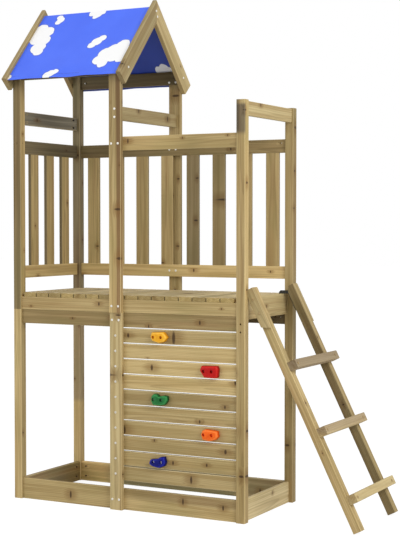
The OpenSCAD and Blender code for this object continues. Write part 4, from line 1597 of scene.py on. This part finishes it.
@dataclass
class Screws:
    """Dome-headed screws with a cross recess, copied to every screw of a node.

    Dome and recess_d are shares of the head's height, recess_l and recess_w of
    its radius, and tip of the shank's. Spread widens the heads.
    """

    node: str
    finish: ZincSteel = ZincSteel()
    head_r: float = 4.5 * MM
    head_h: float = 2.6 * MM
    dome: float = 0.62
    recess_l: float = 1.05
    recess_w: float = 0.24
    recess_d: float = 0.45
    shank_r: float = 2.0 * MM
    shank_l: float = 20 * MM
    tip: float = 0.1
    spread: float = 1.12

    def head(self) -> bpy.types.Object:
        """Models a head below the origin, with its dome and cross recess.

        Returns:
            The head.
        """
        deselect()
        bpy.ops.mesh.primitive_cylinder_add(
            vertices=24, radius=self.head_r, depth=self.head_h, location=(0, 0, -self.head_h / 2)
        )
        head = bpy.context.object
        bpy.ops.object.transform_apply(location=True, rotation=False, scale=False)
        spots = head.data.vertices
        middle = -self.head_h / 2
        pick(head, Element.EDGE, lambda edge: all(spots[i].co.z < middle for i in edge.vertices))
        bpy.ops.mesh.bevel(offset=self.head_h * self.dome, segments=4, profile=0.5)
        bpy.ops.object.mode_set(mode="OBJECT")
        for turn in (0.0, math.pi / 2):
            deselect()
            bpy.ops.mesh.primitive_cube_add(
                size=1.0,
                scale=(self.head_r * self.recess_l, self.head_r * self.recess_w, self.head_h),
                location=(0, 0, -self.head_h * (1.5 - self.recess_d)),
                rotation=(0, 0, turn),
            )
            cut_away(head, bpy.context.object)
        return head

    def shank(self) -> bpy.types.Object:
        """Models a pointed shank that rises from the origin.

        Returns:
            The shank.
        """
        deselect()
        bpy.ops.mesh.primitive_cylinder_add(
            vertices=12, radius=self.shank_r, depth=self.shank_l, location=(0, 0, self.shank_l / 2)
        )
        shank = bpy.context.object
        bpy.ops.object.transform_apply(location=True, rotation=False, scale=False)
        pick(shank, Element.FACE, lambda face: face.normal.z > 0.5)
        bpy.ops.mesh.extrude_region_move(TRANSFORM_OT_translate={"value": (0, 0, self.shank_r)})
        bpy.ops.transform.resize(value=(self.tip, self.tip, 1.0))
        bpy.ops.object.mode_set(mode="OBJECT")
        return shank

    def pattern(self) -> bpy.types.Object:
        """Joins a head and a shank.

        Returns:
            The screw that the others are copied from.
        """
        head, shank = self.head(), self.shank()
        activate(head)
        shank.select_set(True)
        bpy.ops.object.join()
        return settle(bpy.context.object, "screw_pattern")

    def islands(self) -> list[np.ndarray]:
        """Splits the node's mesh into the points of its separate solids.

        Returns:
            The points of each solid.
        """
        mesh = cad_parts[self.node].data
        points = np.array([v.co for v in mesh.vertices], float)
        keys, index = np.unique(np.round(points, 6), axis=0, return_inverse=True)
        index = index.ravel()
        owner = np.arange(len(keys))

        def top(i: int) -> int:
            """Follows a point to the first point of its solid.

            Args:
                i: The point's number.

            Returns:
                The number of the first point.
            """
            while owner[i] != i:
                owner[i] = owner[owner[i]]
                i = owner[i]
            return i

        for face in mesh.polygons:
            first = top(index[face.vertices[0]])
            for other in face.vertices[1:]:
                owner[top(index[other])] = first
        tops = np.array([top(i) for i in range(len(keys))])
        return [keys[tops == t] for t in np.unique(tops)]

    @staticmethod
    def place(points: np.ndarray) -> tuple[np.ndarray, np.ndarray, float, float]:
        """Finds where one screw sits.

        Args:
            points: The points of its solid.

        Returns:
            The middle of its head's seat, its heading, its shank's length and its head's radius.
        """
        centre = points.mean(0)
        heading = np.linalg.svd(points - centre, full_matrices=False)[2][0]
        run = (points - centre) @ heading
        away = np.linalg.norm(points - centre - np.outer(run, heading), axis=1)
        rim = away > away.max() * 0.97
        if run[rim].mean() > (run.max() + run.min()) / 2:
            heading, run = -heading, -run
        seat = run[rim].max()
        return centre + heading * seat, heading, float(run.max() - seat), float(away.max())

    def build(self) -> bpy.types.Object:
        """Copies the pattern to every screw and joins the copies.

        Returns:
            The screws as one piece.
        """
        pattern = self.pattern()
        base = np.array([v.co for v in pattern.data.vertices], float)
        faces = [list(p.vertices) for p in pattern.data.polygons]
        bpy.data.objects.remove(pattern)
        points, polygons = [], []
        for island in self.islands():
            seat, heading, length, radius = self.place(island)
            turn = np.array(Z_AXIS.rotation_difference(Vector(heading)).to_matrix())
            growth = radius / self.head_r
            copy = base * growth
            copy[base[:, Z] < 0.0, :Z] *= self.spread
            far_end = copy[:, Z] > self.shank_r / 2
            copy[far_end, Z] += length - self.shank_l * growth - self.shank_r
            polygons += [[i + len(points) * len(base) for i in f] for f in faces]
            points.append(copy @ turn.T + seat)
        mesh = bpy.data.meshes.new(f"{self.node}_crosshead")
        mesh.from_pydata(np.concatenate(points).tolist(), [], polygons)
        piece = bpy.data.objects.new(f"{self.node}_crosshead", mesh)
        bpy.context.scene.collection.objects.link(piece)
        activate(piece)
        bpy.ops.object.shade_smooth_by_angle(angle=math.radians(35))
        dress(piece, self.finish.material())
        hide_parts(self.node)
        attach(piece, BODY)
        return piece


@dataclass(frozen=True)
class Lamp:
    """A soft lamp, with its place, the width of its face and its power in watts."""

    name: str
    spot: Triple
    size: float
    power: float

    def build(self, aim: Vector) -> None:
        """Hangs the lamp.

        Args:
            aim: What it points at.
        """
        deselect()
        bpy.ops.object.light_add(type="AREA", location=self.spot)
        lamp = bpy.context.object
        lamp.name = self.name
        lamp.data.shape, lamp.data.size, lamp.data.energy = "DISK", self.size, self.power
        lamp.rotation_euler = (aim - Vector(self.spot)).to_track_quat("-Z", "Y").to_euler()


@dataclass
class Studio:
    """A pale floor, a white surround and soft light."""

    sky: float = 0.62
    floor_size: float = 60.0
    floor_tone: Colour = (0.8, 0.8, 0.8)
    white: Colour = (1.0, 1.0, 1.0)
    glow: float = 1.24
    glow_share: float = 0.72
    aim: Triple = (0.0, 0.0, 1.0)
    lamps: tuple[Lamp, ...] = (
        Lamp("key_lamp", (4.4, -2.4, 3.8), 2.6, 150.0),
        Lamp("fill_lamp", (-3.6, -4.0, 2.6), 3.2, 55.0),
    )

    def seen(self, g: Graph) -> Val:
        """Finds the rays that see the surround, straight or in a reflection.

        Args:
            g: The graph of the floor or of the surround.

        Returns:
            One for those rays and zero for all others.
        """
        path = g.node("ShaderNodeLightPath", out="Is Camera Ray")
        outputs = path.socket.node.outputs
        glossy, through = outputs["Is Glossy Ray"], outputs["Is Transmission Ray"]
        return g.math("MINIMUM", path + Val(g, glossy) + Val(g, through), 1.0)

    def floor(self) -> None:
        """Lays a white floor that keeps a faint shadow."""
        deselect()
        bpy.ops.mesh.primitive_plane_add(size=self.floor_size)
        piece = settle(bpy.context.object, "studio_floor")
        g = Graph.material("studio_floor")
        share = self.seen(g) * self.glow_share
        matt = g.node("ShaderNodeBsdfDiffuse", None, {"Color": self.floor_tone})
        glow = g.node("ShaderNodeEmission", None, {"Color": self.white, "Strength": self.glow})
        both = g.node("ShaderNodeMixShader", None, {0: share, 1: matt, 2: glow})
        g.node("ShaderNodeOutputMaterial", None, {"Surface": both})
        dress(piece, g.owner)

    def world(self) -> None:
        """Surrounds the frame with even light that looks white."""
        world = bpy.data.worlds.new("studio")
        bpy.context.scene.world = world
        g = Graph(world)
        strength = between(self.seen(g), self.sky, 1.0)
        even = g.node("ShaderNodeBackground", None, {"Color": self.white, "Strength": strength})
        g.node("ShaderNodeOutputWorld", None, {"Surface": even})

    def build(self) -> None:
        """Sets up the floor, the surround and the lamps."""
        self.floor()
        self.world()
        for lamp in self.lamps:
            lamp.build(Vector(self.aim))


@dataclass
class View:
    """The camera at the photograph's viewing angle.

    The focal length and the long side are in pixels of the photograph.
    """

    spot: Triple = (2.63225, -4.96836, 1.18261)
    azimuth: float = 27.95
    elevation: float = 1.95
    focal: float = 1342.71
    long_side: float = 539.0
    sensor: float = 36.0
    sight: float = 200.0

    def build(self) -> None:
        """Places the camera and makes it the scene's own."""
        a, e = math.radians(self.azimuth), math.radians(self.elevation)
        back = Vector((math.sin(a) * math.cos(e), -math.cos(a) * math.cos(e), math.sin(e)))
        deselect()
        bpy.ops.object.camera_add(location=self.spot)
        camera = bpy.context.object
        camera.name = "photo_camera"
        camera.rotation_euler = (-back).to_track_quat("-Z", "Y").to_euler()
        camera.data.sensor_width = self.sensor
        camera.data.lens = self.focal / self.long_side * self.sensor
        camera.data.clip_end = self.sight
        bpy.context.scene.camera = camera


HOLDS = (
    Hold(
        "yellow",
        ((-28, 19), (28, 22), (46, 0), (31, -18), (7, -24), (-26, -15), (-33, 1)),
        Resin("yellow", "#F4B028", "#C07A10", "#FFC850", "#E09A30"),
    ),
    Hold(
        "red",
        ((-30, 21), (40, 23), (46, 10), (43, -23), (30, -27), (-18, -26), (-38, 3)),
        Resin("red", "#C01412", "#7E0A0A", "#D22820", "#B41616"),
    ),
    Hold(
        "green",
        ((-30, 12), (-18, 23), (-3, 22), (7, 13), (29, 19), (45, 16), (47, -1), (36, -18),
         (15, -24), (-22, -23), (-30, -9)),
        Resin("green", "#23733A", "#0C3A1A", "#3C9450", "#78A884"),
    ),
    Hold(
        "orange",
        ((-32, 0), (-26, 16), (-13, 22), (42, 18), (46, -5), (33, -18), (6, -25), (-25, -21)),
        Resin("orange", "#FA6C1C", "#C04008", "#FF8A3C", "#F86020"),
    ),
    Hold(
        "blue",
        ((-40, -6), (-33, 8), (1, 13), (13, 21), (32, 23), (38, 0), (32, -14), (10, -24),
         (-2, -24), (-26, -19), (-38, -13)),
        Resin("blue", "#0A1276", "#060B48", "#1A26A0", "#F0F2FF"),
    ),
)


def dress_nodes() -> None:
    """Gives every solid that stays in view its finish."""
    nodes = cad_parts
    for finish in board_finishes():
        dress(nodes[finish.node], finish.material())
        LOG.info("pine on %s", finish.node)
    zinc = ZincSteel("pocket_screw_zinc").material()
    # Darker copies of the zinc for the pocket screws by the left bar and on the left half of the
    # base: painted shade
    black = ZincSteel("pocket_screw_black", "#3A342A", "#241F18").material()
    brown = ZincSteel("pocket_screw_brown", "#7A6440", "#5C4A2C").material()
    for node in ("base_screws", "rail_screws", "deck_screws"):
        dress(nodes[node], zinc)
    nodes["rail_screws"].data.materials.append(black)
    low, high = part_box("bar_left")
    for face in nodes["rail_screws"].data.polygons:
        if face.center.x < high.x + SCREW_REACH and low.z < face.center.z < high.z:
            face.material_index = 1
    nodes["base_screws"].data.materials.append(brown)
    for face in nodes["base_screws"].data.polygons:
        if face.center.x < 0.0:
            face.material_index = 1
    dress(nodes["ladder_hooks"], HookPaint().material())
    LOG.info("zinc and paint on the pocket screws and hooks")


def paint_bolts(piece: bpy.types.Object) -> None:
    """Paints the bolts of every hold in its own colour: the darker tones paint the shade in the
    counterbores, and the pale ones of the green and blue holds a glint.

    Args:
        piece: The bolts of all holds.
    """
    piece.data.materials.clear()
    middles = []
    for hold in HOLDS:
        low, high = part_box(f"hold_{hold.colour}")
        middles.append((low.z + high.z) / 2)
        finish = ZincSteel(f"bolt_{hold.colour}", hold.finish.bolt, hold.finish.bolt)
        piece.data.materials.append(finish.material())
    for face in piece.data.polygons:
        face.material_index = min(range(len(HOLDS)), key=lambda i: abs(face.center.z - middles[i]))


def main() -> None:
    """Builds the looks of the climbing frame, piece by piece."""
    logging.basicConfig(level=logging.INFO, format="%(name)s: %(message)s")
    View().build()
    Studio().build()
    dress_nodes()
    LOG.info("made %s", RoofSheet().build().name)
    for hold in HOLDS:
        LOG.info("made %s", hold.build().name)
    for screws in (
        Screws("frame_screws"),
        Screws("wall_screws", ZincSteel("wall_screw_zinc", "#E6E2D6", "#C6C1B2")),
        Screws("ladder_screws", ZincSteel("ladder_screw_zinc", "#B59C6C", "#94794C")),
    ):
        LOG.info("made %s", screws.build().name)
    bolts = Screws("hold_bolts").build()
    paint_bolts(bolts)
    LOG.info("made %s", bolts.name)
    bpy.context.scene.view_settings.view_transform = "Standard"
    deselect()


if __name__ == "__main__":
    main()
